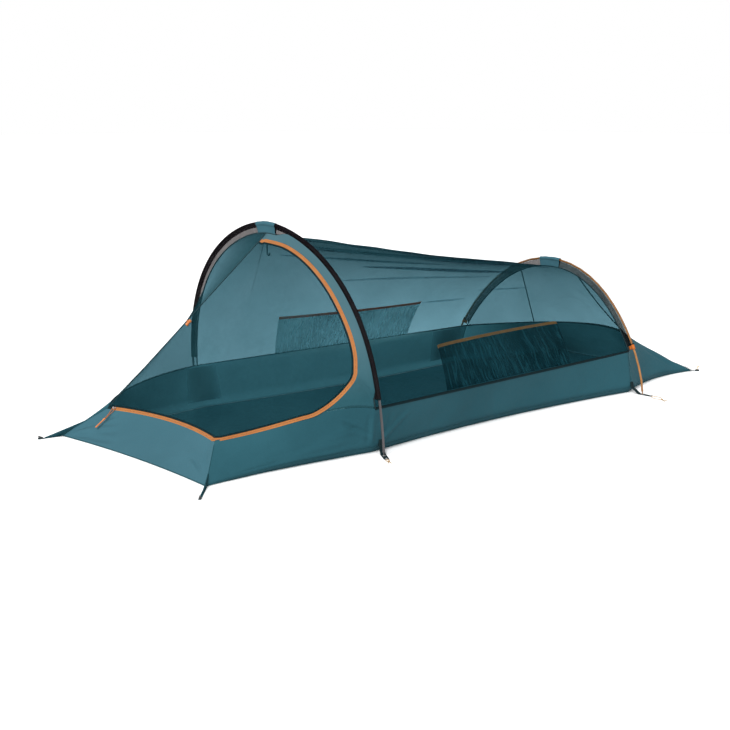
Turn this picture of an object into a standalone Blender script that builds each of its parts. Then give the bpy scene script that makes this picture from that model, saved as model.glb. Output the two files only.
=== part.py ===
# Lightweight two-hoop tent, pitched, with a closed mesh door, a bathtub floor and mesh walls.
#
# Units are metres and +Z is up. The empty "tent" stands on the ground at the middle of the
# tent's length. In its frame the front floor edge lies at X = -CENTRE_X, the tent runs back
# along +X, the door's zip and the near side are at -Y, and the ground is Z = 0. Every point
# below is given from the front floor edge, and place() moves it into that frame.

import math

import bmesh
import bpy
import numpy as np

# Overall plan of the pitched tent
FLOOR_LENGTH = 2.750
FRONT_HOOP_X = 0.674
REAR_HOOP_X = 2.161
FRONT_EDGE_HALF = 0.450
REAR_EDGE_HALF = 0.407
FRONT_HOOP_FLOOR_HALF = 0.505
REAR_HOOP_FLOOR_HALF = 0.506
FRONT_EDGE_BOW = 0.024
REAR_EDGE_BOW = 0.030
FRONT_SIDE_BOW = 0.010
MIDDLE_SIDE_BOW = 0.045
TAIL_SIDE_BOW = 0.040

# Hoops: half span at the feet, height, and the powers of the superellipse that the bent pole
# follows; lean is the shift in X for each metre of height
FRONT_FOOT_HALF = 0.556
FRONT_HOOP_HEIGHT = 0.770
FRONT_SIDE_POWER = 1.78
FRONT_CROWN_POWER = 2.82
FRONT_LEAN = -0.084
REAR_FOOT_HALF = 0.560
REAR_HOOP_HEIGHT = 0.525
REAR_SIDE_POWER = 2.07
REAR_CROWN_POWER = 1.39
REAR_LEAN = 0.100

# Pole tube, ferrule and elastic cord
POLE_RADIUS = 0.00435
POLE_WALL = 0.0007
FERRULE_CLEARANCE = 0.0004
FERRULE_WALL = 0.0010
FERRULE_REACH = 0.032
JOINT_GAP = 0.0003
FRONT_POLE_SECTIONS = 5
REAR_POLE_SECTIONS = 4
TIP_RADIUS = 0.0022
TIP_LENGTH = 0.012
TIP_PLUG = 0.030
SHOCK_CORD_RADIUS = 0.0014
STATIONS_PER_SECTION = 7
POLE_SIDES = 8

# Fabric, seams and the clearances between sewn neighbours
FABRIC = 0.0012
WEBBING = 0.0016
BAND_HALF = 0.008
SEAM_BEAD_RADIUS = 0.0025
SEAM_GAP = 0.0006
SEAT_GAP = 0.0003
SLEEVE_INSET_TOP = 0.034
SLEEVE_INSET_LOW = 0.025
SLEEVE_BORE_CLEARANCE = 0.00065
SLEEVE_WALL = 0.0014
SLEEVE_END_HEIGHT = 0.200
FRONT_PATCH_HALF = 0.052
REAR_PATCH_HALF = 0.054
PATCH_WALL = 0.0021

# Bathtub rim
FRONT_RIM_X = 0.125
FRONT_RIM_HALF = 0.329
FRONT_RIM_HEIGHT = 0.107
FRONT_RIM_BOW_X = 0.045
FRONT_RIM_BOW_Z = 0.005
FRONT_HOOP_RIM_HEIGHT = 0.165
REAR_HOOP_RIM_HEIGHT = 0.170
NEAR_RIM_RISE = 0.023
NEAR_RIM_SKEW = 2.2
FAR_RIM_RISE = 0.037
FAR_RIM_SKEW = 0.6
REAR_RIM_REACH = 0.390
REAR_RIM_RISE = 0.016
EDGE_LIFT = 0.022
EDGE_LIFT_FOLD = 0.018
CORNER_LIFT = 0.004
CORNER_FOLD = 0.004
REAR_SEAM_RIM_Y = 0.295

# Canopy
ARC_HALF_STEPS = 14
CANOPY_STEPS = 8
SIDE_STEPS = 10
MIDDLE_STEPS = 8
FRONT_STEPS = 12
REAR_TAIL_STEPS = 8
REAR_MIDDLE_STEPS = 6
CANOPY_SAG = 0.010
FRONT_WALL_SAG = 0.0090
FAR_FRONT_SAG = 0.028
REAR_SAG = 0.008
REAR_SEAM_ARC_STEP = 10

# Door zip, as (place round the front, share of the way from hoop to rim). Round the front
# 0 is the near hoop foot, 1 the near rim corner, 2 the far rim corner and 3 the far foot.
ZIP_TOP_DROP = 0.036
ZIP_CONTROLS = (
    (0.860, 0.036),
    (0.705, 0.041),
    (0.537, 0.065),
    (0.370, 0.119),
    (0.270, 0.220),
    (0.225, 0.400),
    (0.233, 0.600),
    (0.272, 0.820),
    (0.330, 0.950),
    (0.400, 1.000),
)
ZIP_START = 1.86
ZIP_TURN = 6
ZIP_TOP_STEPS = FRONT_STEPS + 1
ZIP_FOOT_STEPS = 6
ZIP_CORNER_CUT = 0.035
ZIP_FAR_END = 0.030
ZIP_GAP = 0.0010
ZIP_WALL_GAP = 0.0020
BINDING_START_STEPS = 3
STRIP_FOOT_ROWS = 2
HINGE_BEAD_RADIUS = 0.0018

# Slider and its cord
SLIDER_LENGTH = 0.014
SLIDER_WIDTH = 0.009
SLIDER_HEIGHT = 0.0036
SLIDER_CLEARANCE = 0.0007
SLIDER_SHARE = 0.950
BAIL_OPENING = 0.0046
BAIL_WIRE = 0.0011
BAIL_LENGTH = 0.0045
PULL_CORD_RADIUS = 0.0012
PULL_SEAT = 0.0010
PULL_STAND_OFF = 0.110
PULL_LOOP_LENGTH = 0.066
PULL_LOOP_HALF = 0.0055
PULL_KNOT_HALF = 0.0017
PULL_TAB_LENGTH = 0.058
PULL_TAB_HALF = 0.0038
PULL_TAB_THICKNESS = 0.0022

# Ceiling hook and its tab at the peak, and the tie-back toggle on the door's hinge seam
HOOK_WIRE_RADIUS = 0.0016
HOOK_FRAME_HALF = 0.0085
HOOK_FRAME_HEIGHT = 0.010
HOOK_FRAME_TURN = 0.0015
HOOK_SHANK = 0.032
HOOK_CURL_RADIUS = 0.0075
HOOK_TAB_HALF = 0.005
HOOK_TAB_DROP = 0.030
HOOK_TAB_THICKNESS = 0.0012
TOGGLE_SHARE = 0.500
TOGGLE_LENGTH = 0.023
TOGGLE_RADIUS = 0.0050
TOGGLE_GROOVE = 0.0034
TOGGLE_LOOP_LENGTH = 0.024
TOGGLE_LIFT = 0.0035
TOGGLE_LOOP_BOW = 0.002
TOGGLE_LOOP_HALF = 0.0030

# Pockets on the inner face of the mesh walls
POCKET_FRONT_X = 1.035
POCKET_REAR_X = 1.790
POCKET_TOP_HEIGHT = 0.322
POCKET_DEPTH = 0.026
POCKET_STEPS = 8
POCKET_ROWS = 5
POCKET_TRIM_HALF = 0.006
POCKET_SEAT = 0.0012

# Straps, pegs and foot cords
FOOT_STRAP_HALF = 0.0095
FOOT_STRAP_REACH = 0.046
FOOT_STRAP_ROOT_HEIGHT = 0.046
FOOT_EYELET_RADIUS = 0.0032
FRONT_STRAP_SLANT = 32.0
REAR_STRAP_SLANT = 0.0
CORNER_STRAP_HALF = 0.0055
CORNER_STRAP_ROOT = 0.050
CORNER_EYELET_RADIUS = 0.0028
CORNER_EYELET_FROM_END = 0.009
NEAR_FRONT_REACH = (0.097, 0.102)
FAR_FRONT_REACH = (0.090, 0.012)
REAR_REACH = (0.026, 0.022)
PEG_RADIUS = 0.0021
FRONT_PEG_HEIGHT = 0.011
REAR_PEG_HEIGHT = 0.021
PEG_HOOK = 0.010
PEG_NECK = 0.005
PEG_BEND = 0.0015
PEG_DROOP = 0.001
FOOT_CORD_RADIUS = 0.0011
FOOT_CORD_STRAND_GAP = 0.0008
FRONT_CORD_LOOP = 0.030
FRONT_CORD_WIDTH = 0.014
FRONT_CORD_TAILS = 0.022
REAR_CORD_SLANT = 22.0
REAR_CORD_LOOP = 0.074
REAR_CORD_WIDTH = 0.034
REAR_CORD_TAILS = 0.034

CENTRE_X = 0.5 * (FLOOR_LENGTH + REAR_REACH[0] - NEAR_FRONT_REACH[0])

WALL_START_HEIGHT = FABRIC + SEAT_GAP + 0.5 * FABRIC


def place(point):
    """Return a point, given from the front floor edge, in the tent's frame."""
    return np.array([point[0] - CENTRE_X, point[1], point[2]])


def vector(x, y, z):
    return np.array([x, y, z], dtype=float)


def unit(direction):
    return direction / np.linalg.norm(direction)


def blend(start, end, share):
    return start + (end - start) * share


def hump(share, skew=1.0):
    """Return a bow that is 0 at both ends and 1 where share ** skew is one half."""
    eased = share ** skew
    return 4.0 * eased * (1.0 - eased)


def catmull_rom(points, steps):
    """Return a smooth run of points through the given ones, steps to each span."""
    ends = [2 * points[0] - points[1]] + list(points) + [2 * points[-1] - points[-2]]
    run = []
    for index in range(1, len(ends) - 2):
        before, here, there, after = ends[index - 1:index + 3]
        for step in range(steps):
            t = step / steps
            run.append(0.5 * (
                2 * here + (there - before) * t
                + (2 * before - 5 * here + 4 * there - after) * t ** 2
                + (3 * here - before - 3 * there + after) * t ** 3))
    run.append(points[-1])
    return run


def along(points, shares):
    """Return the points at the given shares of a polyline's length."""
    array = np.array(points)
    lengths = np.concatenate([[0.0], np.cumsum(np.linalg.norm(np.diff(array, axis=0), axis=1))])
    targets = np.array(shares) * lengths[-1]
    return [vector(*(np.interp(t, lengths, array[:, axis]) for axis in range(3))) for t in targets]


class Hoop:
    """A pole bent to a superellipse, as a polyline with a frame at each of its stations."""

    def __init__(self, foot_x, half_span, height, side_power, crown_power, lean, sections):
        angles = np.linspace(0.0, math.pi, 1601)
        cosines, sines = np.cos(angles), np.sin(angles)
        y = -half_span * np.sign(cosines) * np.abs(cosines) ** (2.0 / side_power)
        z = height * np.abs(sines) ** (2.0 / crown_power)
        dense = np.stack([foot_x + lean * z, y, z], axis=1)
        lengths = np.concatenate([[0.0], np.cumsum(np.linalg.norm(np.diff(dense, axis=0), axis=1))])
        self.total = lengths[-1]
        self.height = height
        self.sections = sections
        self.normal = unit(vector(1.0, 0.0, -lean))
        self.stations = np.linspace(0.0, self.total, sections * STATIONS_PER_SECTION + 1)
        self.points = self.sample(dense, lengths, self.stations)
        ahead = self.sample(dense, lengths, np.minimum(self.stations + 0.004, self.total))
        behind = self.sample(dense, lengths, np.maximum(self.stations - 0.004, 0.0))
        tangents = (ahead - behind) / np.linalg.norm(ahead - behind, axis=1)[:, None]
        self.inwards = np.cross(tangents, self.normal)

    @staticmethod
    def sample(dense, lengths, places):
        return np.stack([np.interp(places, lengths, dense[:, axis]) for axis in range(3)], axis=1)

    def lookup(self, table, s):
        return vector(*(np.interp(s, self.stations, table[:, axis]) for axis in range(3)))

    def point(self, s):
        return self.lookup(self.points, s)

    def inward(self, s):
        return self.lookup(self.inwards, s)

    def inset(self, s):
        """Return how far inside the pole the canopy seam runs."""
        return blend(SLEEVE_INSET_LOW, SLEEVE_INSET_TOP, self.point(s)[2] / self.height)

    def seam(self, s):
        return self.point(s) + self.inward(s) * self.inset(s)

    def seam_at_height(self, height):
        """Return the place along the near leg where the canopy seam is at a height."""
        places = np.linspace(0.0, 0.5 * self.total, 400)
        heights = [self.seam(s)[2] for s in places]
        return float(np.interp(height, heights, places))

    def pole_at_height(self, height):
        places = np.linspace(0.0, 0.5 * self.total, 400)
        heights = [self.point(s)[2] for s in places]
        return float(np.interp(height, heights, places))

    def between(self, start, end):
        """Return start, the stations between, and end, in either direction."""
        low, high = min(start, end), max(start, end)
        inner = [s for s in self.stations if low + 1e-6 < s < high - 1e-6]
        run = [low] + inner + [high]
        return run if start <= end else run[::-1]


FRONT = Hoop(FRONT_HOOP_X, FRONT_FOOT_HALF, FRONT_HOOP_HEIGHT, FRONT_SIDE_POWER,
             FRONT_CROWN_POWER, FRONT_LEAN, FRONT_POLE_SECTIONS)
REAR = Hoop(REAR_HOOP_X, REAR_FOOT_HALF, REAR_HOOP_HEIGHT, REAR_SIDE_POWER,
            REAR_CROWN_POWER, REAR_LEAN, REAR_POLE_SECTIONS)

FRONT_RIM_S = FRONT.seam_at_height(FRONT_HOOP_RIM_HEIGHT)
REAR_RIM_S = REAR.seam_at_height(REAR_HOOP_RIM_HEIGHT)
NEAR_RIM_CORNER = vector(FRONT_RIM_X, -FRONT_RIM_HALF, FRONT_RIM_HEIGHT)
FAR_RIM_CORNER = vector(FRONT_RIM_X, FRONT_RIM_HALF, FRONT_RIM_HEIGHT)
FRONT_APEX = FRONT.seam(0.5 * FRONT.total)

# The front rim is an arc of a circle, so that the slider can follow it by turning
RIM_SAGITTA = math.hypot(FRONT_RIM_BOW_X, FRONT_RIM_BOW_Z)
RIM_ARC_RADIUS = (FRONT_RIM_HALF ** 2 + RIM_SAGITTA ** 2) / (2.0 * RIM_SAGITTA)
RIM_ARC_OUT = vector(FRONT_RIM_BOW_X, 0.0, FRONT_RIM_BOW_Z) / RIM_SAGITTA
RIM_ARC_CENTRE = (vector(FRONT_RIM_X, 0.0, FRONT_RIM_HEIGHT)
                  - RIM_ARC_OUT * (RIM_ARC_RADIUS - RIM_SAGITTA))
RIM_ARC_AXIS = np.cross(RIM_ARC_OUT, vector(0.0, 1.0, 0.0))
RIM_ARC_ANGLE = math.asin(FRONT_RIM_HALF / RIM_ARC_RADIUS)


def front_rim(share):
    """Return a point on the front rim, share 0 at the near corner and 1 at the far one."""
    angle = RIM_ARC_ANGLE * (2.0 * share - 1.0)
    out = RIM_ARC_OUT * math.cos(angle) + vector(0.0, 1.0, 0.0) * math.sin(angle)
    return RIM_ARC_CENTRE + out * RIM_ARC_RADIUS


def front_rim_out(share):
    angle = RIM_ARC_ANGLE * (2.0 * share - 1.0)
    return RIM_ARC_OUT * math.cos(angle) + vector(0.0, 1.0, 0.0) * math.sin(angle)


def side_rim(share, near):
    """Return a rim point between the front corner (0) and the front hoop (1) on one side."""
    corner = NEAR_RIM_CORNER if near else FAR_RIM_CORNER
    hoop_place = FRONT_RIM_S if near else FRONT.total - FRONT_RIM_S
    rise = NEAR_RIM_RISE * hump(share, NEAR_RIM_SKEW) if near else FAR_RIM_RISE * hump(share, FAR_RIM_SKEW)
    return blend(corner, FRONT.seam(hoop_place), share) + vector(0.0, 0.0, rise)


def rear_rim(share):
    """Return a point on the rounded rear rim, 0 at the near hoop seam and 1 at the far one."""
    hoop_point = REAR.seam(REAR_RIM_S)
    across = 1.0 - 2.0 * share
    reach = 1.0 - across ** 2
    return vector(hoop_point[0] + REAR_RIM_REACH * reach, hoop_point[1] * across,
                  hoop_point[2] + REAR_RIM_RISE * reach)


def rear_rim_share(half_width):
    """Return the share of the rear rim where it is half_width from the middle, near side."""
    return 0.5 * (1.0 - half_width / abs(REAR.seam(REAR_RIM_S)[1]))


def front_fan(u):
    """Return the hoop end and the rim end of the ruling at u round the front, 0 to 3."""
    if u <= 1.0:
        place_on_arc = blend(FRONT_RIM_S, 0.5 * FRONT.total, u)
        return FRONT.seam(place_on_arc), side_rim(1.0 - u, near=True)
    if u <= 2.0:
        return FRONT_APEX, front_rim(u - 1.0)
    place_on_arc = blend(0.5 * FRONT.total, FRONT.total - FRONT_RIM_S, u - 2.0)
    return FRONT.seam(place_on_arc), side_rim(u - 2.0, near=False)


def front_surface(u, share):
    hoop_end, rim_end = front_fan(u)
    return blend(hoop_end, rim_end, share)


def material(name, colour, roughness=0.8, metallic=0.0):
    """Return a new Principled material with the given look."""
    made = bpy.data.materials.new(name)
    made.use_nodes = True
    shader = made.node_tree.nodes["Principled BSDF"]
    shader.inputs["Base Color"].default_value = (*colour, 1.0)
    shader.inputs["Roughness"].default_value = roughness
    shader.inputs["Metallic"].default_value = metallic
    return made


def clear_scene():
    for item in list(bpy.data.objects):
        bpy.data.objects.remove(item, do_unlink=True)


def mesh_object(name, points, faces, look, pivot=None):
    """Make an object from points in the tent's plan; its origin is at the pivot."""
    origin = place(pivot) if pivot is not None else np.zeros(3)
    shape = bmesh.new()
    corners = [shape.verts.new(place(point) - origin) for point in points]
    for face in faces:
        shape.faces.new([corners[index] for index in face])
    bmesh.ops.recalc_face_normals(shape, faces=shape.faces)
    mesh = bpy.data.meshes.new(name)
    shape.to_mesh(mesh)
    shape.free()
    mesh.materials.append(look)
    mesh.shade_smooth()
    mesh.set_sharp_from_angle(angle=math.radians(40))
    item = bpy.data.objects.new(name, mesh)
    bpy.context.scene.collection.objects.link(item)
    item.parent = bpy.data.objects["tent"]
    item.location = origin
    return item


def panel(name, grid, look, thickness=FABRIC, pivot=None):
    """Make a sheet of cloth from a grid of points, solidified about its middle."""
    rows, columns = len(grid), len(grid[0])
    points = [point for row in grid for point in row]
    faces = []
    for row in range(rows - 1):
        for column in range(columns - 1):
            first = row * columns + column
            faces.append((first, first + 1, first + columns + 1))
            faces.append((first, first + columns + 1, first + columns))
    item = mesh_object(name, points, faces, look, pivot)
    thicken = item.modifiers.new("cloth thickness", 'SOLIDIFY')
    thicken.thickness = thickness
    thicken.offset = 0.0
    thicken.use_even_offset = True
    return item


def skin(sections, closed=False):
    """Return points and faces of a tube through loops of points, capped unless closed."""
    count = len(sections[0])
    points = [point for section in sections for point in section]
    faces = []
    runs = len(sections) if closed else len(sections) - 1
    for run in range(runs):
        here = run * count
        there = ((run + 1) % len(sections)) * count
        for corner in range(count):
            beside = (corner + 1) % count
            faces.append((here + corner, here + beside, there + beside, there + corner))
    if not closed:
        faces.append(tuple(range(count)))
        faces.append(tuple(range(len(points) - count, len(points))))
    return points, faces


def loft(name, sections, look, pivot=None):
    points, faces = skin(sections)
    return mesh_object(name, points, faces, look, pivot)


def hollow_loft(name, outer, inner, look):
    """Make a tube with a wall from matching outer and inner loops."""
    ring = [list(section) for section in outer] + [list(section) for section in reversed(inner)]
    points, faces = skin(ring, closed=True)
    return mesh_object(name, points, faces, look)


def tangents_of(path):
    """Return the unit direction at each point of a path, averaged over its neighbours."""
    runs = [unit(there - here) for here, there in zip(path[:-1], path[1:])]
    return [unit(before + after) for before, after in zip(runs[:1] + runs, runs + runs[-1:])]


def band(name, path, widths, normals, half_width, thickness, look):
    """Sweep a flat band along a path; widths and normals give its two directions."""
    sections = []
    for point, across, normal in zip(path, widths, normals):
        a, n = across * half_width, normal * (0.5 * thickness)
        sections.append([point - a - n, point + a - n, point + a + n, point - a + n])
    return loft(name, sections, look)


def ruled(side_a, side_b, columns, gap_a=0.0, gap_b=0.0, sag=0.0, sag_to=None):
    """Return a grid of straight rulings between two sides, held clear of both.

    The rulings may hang by sag, at their middle, towards the point sag_to.
    """
    along_a, along_b = tangents_of(side_a), tangents_of(side_b)
    grid = []
    for a, b, direction_a, direction_b in zip(side_a, side_b, along_a, along_b):
        row = []
        first = clear_share(a, b, direction_a, gap_a)
        last = 1.0 - clear_share(b, a, direction_b, gap_b)
        for share in np.linspace(first, last, columns):
            point = blend(a, b, share)
            if sag_to is not None:
                point = point + unit(sag_to - point) * sag * hump(share)
            row.append(point)
        grid.append(row)
    return grid


def moved_in(row, beside, gap):
    """Return a grid's end row moved by gap, square to itself, towards the row beside it."""
    moved = []
    for point, direction, neighbour in zip(row, tangents_of(row), beside):
        towards = neighbour - point
        square = towards - direction * float(towards @ direction)
        moved.append(point + unit(square) * gap)
    return moved


def clear_share(start, end, side_direction, gap):
    """Return the share of a ruling that keeps gap, square to a side, from the side it starts at."""
    run = end - start
    length = np.linalg.norm(run)
    slant = max(np.linalg.norm(np.cross(run / length, side_direction)), 0.35)
    return gap / slant / length


def trim_ends(grid, gap_first, gap_last):
    """Move a grid's first and last rows in from the seams at its ends."""
    first = moved_in(grid[0], grid[1], gap_first) if gap_first else grid[0]
    last = moved_in(grid[-1], grid[-2], gap_last) if gap_last else grid[-1]
    return [first] + grid[1:-1] + [last]


def side_edge(share, start, end, bow, near):
    """Return a floor-edge point between two half widths, bowed towards the middle."""
    x = blend(start[0], end[0], share)
    half = blend(start[1], end[1], share) - bow * hump(share)
    return vector(x, -half if near else half, 0.0)


def floor_side(index_share, near):
    """Return a point of the side floor edge, 0 front corner, 1 front hoop, 2 rear hoop, 3 rear."""
    stops = [(0.0, FRONT_EDGE_HALF), (FRONT_HOOP_X, FRONT_HOOP_FLOOR_HALF),
             (REAR_HOOP_X, REAR_HOOP_FLOOR_HALF), (FLOOR_LENGTH, REAR_EDGE_HALF)]
    bows = (FRONT_SIDE_BOW, MIDDLE_SIDE_BOW, TAIL_SIDE_BOW)
    span = min(int(index_share), 2)
    return side_edge(index_share - span, stops[span], stops[span + 1], bows[span], near)


def edge_lift(index_share):
    """Return how much of the full lift the side floor edge has."""
    rise_front = min(index_share / 0.5, 1.0)
    fall_rear = min((3.0 - index_share) / 0.5, 1.0)
    return math.sin(0.5 * math.pi * max(min(rise_front, fall_rear), 0.0))


def wall_grid(columns):
    """Return a wall's grid from columns of edge, inward direction, lift share, rim and rim gap.

    Each column runs from the ground fold up over the crease to just below the rim.
    """
    directions = tangents_of([column[3] for column in columns])
    grid = []
    for (edge, inward, lift_share, top, gap_top), rim_direction in zip(columns, directions):
        crease = edge + vector(0.0, 0.0, CORNER_LIFT + (EDGE_LIFT - CORNER_LIFT) * lift_share)
        fold = CORNER_FOLD + (EDGE_LIFT_FOLD - CORNER_FOLD) * lift_share
        ground = edge + inward * fold + vector(0.0, 0.0, WALL_START_HEIGHT)
        stop = blend(top, crease, clear_share(top, crease, rim_direction, gap_top))
        grid.append([ground, crease, blend(crease, stop, 0.5), stop])
    return grid


def frame_empty():
    empty = bpy.data.objects.new("tent", None)
    bpy.context.scene.collection.objects.link(empty)
    return empty


# Side wall columns run 0 to 1 in front of the front hoop and 1 to 2 between the hoops
SIDE_COLUMNS = [index / SIDE_STEPS for index in range(SIDE_STEPS + 1)]
SIDE_COLUMNS += [1 + index / MIDDLE_STEPS for index in range(1, MIDDLE_STEPS + 1)]
TAIL_COLUMNS = [2 + index / REAR_TAIL_STEPS for index in range(REAR_TAIL_STEPS + 1)]


def rear_rim_shares():
    """Return the rear rim's stations: a near tail, the rounded middle and a far tail."""
    fold = rear_rim_share(REAR_SEAM_RIM_Y)
    near = np.linspace(0.0, fold, REAR_TAIL_STEPS + 1)
    middle = np.linspace(fold, 1.0 - fold, REAR_MIDDLE_STEPS + 1)
    return list(near) + list(middle[1:-1]) + list(1.0 - near[::-1])


def side_rim_point(index_share, near):
    """Return the rim above a side floor-edge point, front corner 0 to rear hoop 2."""
    if index_share <= 1.0:
        return side_rim(index_share, near)
    rear_place = REAR_RIM_S if near else REAR.total - REAR_RIM_S
    front_place = FRONT_RIM_S if near else FRONT.total - FRONT_RIM_S
    return blend(FRONT.seam(front_place), REAR.seam(rear_place), index_share - 1.0)


def make_side_wall(name, look, near):
    side = 1.0 if near else -1.0
    binding_start = 1.0 - BINDING_START_STEPS / SIDE_STEPS
    columns = []
    for u in SIDE_COLUMNS:
        inward = vector(1.0 if u == 0.0 else 0.0, side, 0.0)
        below_zip = ZIP_WALL_GAP if near and u < binding_start else 0.0
        columns.append((floor_side(u, near), inward, edge_lift(u), side_rim_point(u, near),
                        BAND_HALF + SEAM_GAP + below_zip))
    panel(name, trim_ends(wall_grid(columns), 2 * SEAM_GAP, SEAM_GAP), look)


def front_edge(share):
    """Return a point on the front floor edge, 0 near and 1 far."""
    return vector(FRONT_EDGE_BOW * hump(share), FRONT_EDGE_HALF * (2.0 * share - 1.0), 0.0)


def rear_edge(share):
    return vector(FLOOR_LENGTH - REAR_EDGE_BOW * hump(share), REAR_EDGE_HALF * (2.0 * share - 1.0), 0.0)


def make_front_wall(look):
    shares = np.linspace(0.0, 1.0, FRONT_STEPS + 1)
    rim = [front_rim(share) for share in shares]
    grid = []
    for share, direction in zip(shares, tangents_of(rim)):
        mitre = {0.0: 1.0, 1.0: -1.0}.get(float(share), 0.0)
        top, crease = front_wall_point(share, 0.0), front_wall_point(share, 1.0)
        stop = clear_share(top, crease, direction, BAND_HALF + SEAM_GAP + ZIP_WALL_GAP)
        ground = front_edge(share) + vector(1.0, mitre, 0.0) * CORNER_FOLD
        column = [ground + vector(0.0, 0.0, WALL_START_HEIGHT)]
        grid.append(column + [front_wall_point(share, down) for down in np.linspace(1.0, stop, 5)])
    panel("front_wall", trim_ends(grid, 2 * SEAM_GAP, 2 * SEAM_GAP), look)


def front_wall_point(share, down):
    """Return a point of the front wall, down 0 at the rim and 1 at the crease, with its sag."""
    rim, crease = front_rim(share), front_edge(share) + vector(0.0, 0.0, CORNER_LIFT)
    slope = unit(crease - rim)
    inward = vector(-slope[2], 0.0, slope[0])
    sag = FRONT_WALL_SAG * hump(share) * hump(down)
    return blend(rim, crease, down) + unit(inward) * sag


def make_rear_wall(look):
    """Make the rear wall, with a tail drawn out to each rear floor corner."""
    shares = rear_rim_shares()
    tail = REAR_TAIL_STEPS
    columns = []
    for index, share in enumerate(shares):
        from_end = min(index, len(shares) - 1 - index)
        near = 2 * index < len(shares)
        side = 1.0 if near else -1.0
        if from_end < tail:
            edge, inward = floor_side(TAIL_COLUMNS[from_end], near), vector(0.0, side, 0.0)
            lift = edge_lift(TAIL_COLUMNS[from_end])
        else:
            across = (index - tail) / (len(shares) - 1 - 2 * tail)
            at_corner = from_end == tail
            edge, inward = rear_edge(across), vector(-1.0, side if at_corner else 0.0, 0.0)
            lift = 0.0
        columns.append((edge, inward, lift, rear_rim(share), BAND_HALF + SEAM_GAP))
    panel("rear_wall", trim_ends(wall_grid(columns), SEAM_GAP, SEAM_GAP), look)


def ground_fold(index_share, near):
    """Return the side floor edge moved in to where the wall meets the floor."""
    lift = edge_lift(index_share)
    fold = CORNER_FOLD + (EDGE_LIFT_FOLD - CORNER_FOLD) * lift
    return floor_side(index_share, near) + vector(0.0, fold if near else -fold, 0.0)


def make_floor(look):
    """Make the flat floor sheet, whose outline runs under the foot of every wall."""
    near = [ground_fold(u, True) for u in SIDE_COLUMNS + TAIL_COLUMNS[1:]]
    far = [ground_fold(u, False) for u in SIDE_COLUMNS + TAIL_COLUMNS[1:]]
    rear = [rear_edge(share) for share in np.linspace(0.0, 1.0, REAR_MIDDLE_STEPS + 1)[1:-1]]
    front = [front_edge(share) for share in np.linspace(0.0, 1.0, FRONT_STEPS + 1)[1:-1]]
    outline = near + rear + far[::-1] + front[::-1]
    low = [point * np.array([1.0, 1.0, 0.0]) for point in outline]
    high = [point + vector(0.0, 0.0, FABRIC) for point in low]
    loft("floor", [low, high], look)


def rim_path():
    """Return the rim from where the zip leaves it, back round the rear, to the far corner."""
    path = [side_rim_point(1.0 - index / SIDE_STEPS, True) for index in range(BINDING_START_STEPS, 0, -1)]
    path += [side_rim_point(u, True) for u in SIDE_COLUMNS[SIDE_STEPS:]]
    path += [rear_rim(share) for share in rear_rim_shares()[1:]]
    path += [side_rim_point(u, False) for u in SIDE_COLUMNS[:0:-1]][1:]
    path.append(side_rim(0.35 / SIDE_STEPS, near=False))
    return path


def make_rim_binding(look):
    path = rim_path()
    widths, normals = [], []
    for tangent in tangents_of(path):
        normal = unit(np.cross(tangent, vector(0.0, 0.0, 1.0)))
        widths.append(unit(np.cross(normal, tangent)))
        normals.append(normal)
    band("rim_binding", path, widths, normals, BAND_HALF, WEBBING, look)


def seam_places(hoop, rim_place):
    """Return places along a hoop's seam, from just above the near rim to the far one."""
    start = rim_place + BAND_HALF + 3 * SEAM_GAP
    return np.linspace(start, hoop.total - start, 2 * ARC_HALF_STEPS + 1)


def seam_points(hoop, rim_place):
    return [hoop.seam(s) for s in seam_places(hoop, rim_place)]


def canopy_grid():
    """Return the canopy from the near rim over the ridge to the far rim, front to back."""
    front, rear = seam_points(FRONT, FRONT_RIM_S), seam_points(REAR, REAR_RIM_S)
    middle = vector(0.5 * (FRONT_HOOP_X + REAR_HOOP_X), 0.0, 0.2)
    clear = SEAM_BEAD_RADIUS + SEAM_GAP
    return ruled(front, rear, CANOPY_STEPS + 1, clear, clear, CANOPY_SAG, middle)


def make_far_front(look):
    """Make the far front panel, from the door's hinge seam round to the hoop's far leg."""
    arc = seam_points(FRONT, FRONT_RIM_S)[ARC_HALF_STEPS:]
    clear = SEAM_BEAD_RADIUS + 2 * SEAM_GAP
    below = BAND_HALF + SEAM_GAP
    inside = vector(0.45, 0.0, 0.12)
    grid = []
    rim = [side_rim_polyline(index / ARC_HALF_STEPS) for index in range(ARC_HALF_STEPS + 1)]
    arc_directions, rim_directions = tangents_of(arc), tangents_of(rim)
    for index in range(ARC_HALF_STEPS):
        a, b = arc[index], rim[index]
        sag = FAR_FRONT_SAG * hump(index / ARC_HALF_STEPS, 0.7)
        first = clear_share(a, b, arc_directions[index], clear)
        last = 1.0 - clear_share(b, a, rim_directions[index], below)
        row = []
        for place_along in np.linspace(first, last, 8):
            point = blend(a, b, place_along)
            row.append(point + unit(inside - point) * sag * hump(place_along))
        grid.append(row)
    grid.append(short_row(arc[-1], grid[-1][-1], clear, 8))
    panel("front_far_panel", trim_ends(grid, HINGE_BEAD_RADIUS + SEAM_GAP, 0.0), look)


def side_rim_polyline(share):
    """Return the far side rim as the straight runs between its stations."""
    column = share * SIDE_STEPS
    index = min(int(column), SIDE_STEPS - 1)
    return blend(side_rim(index / SIDE_STEPS, near=False), side_rim((index + 1) / SIDE_STEPS, near=False),
                 column - index)


def short_row(arc_end, beside, clear, count):
    """Return a short last row that closes a panel beside a hoop's leg, above the rim."""
    start = arc_end + unit(beside - arc_end) * clear
    stop = blend(start, beside, 0.4)
    return [blend(start, stop, share) for share in np.linspace(0.0, 1.0, count)]


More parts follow.
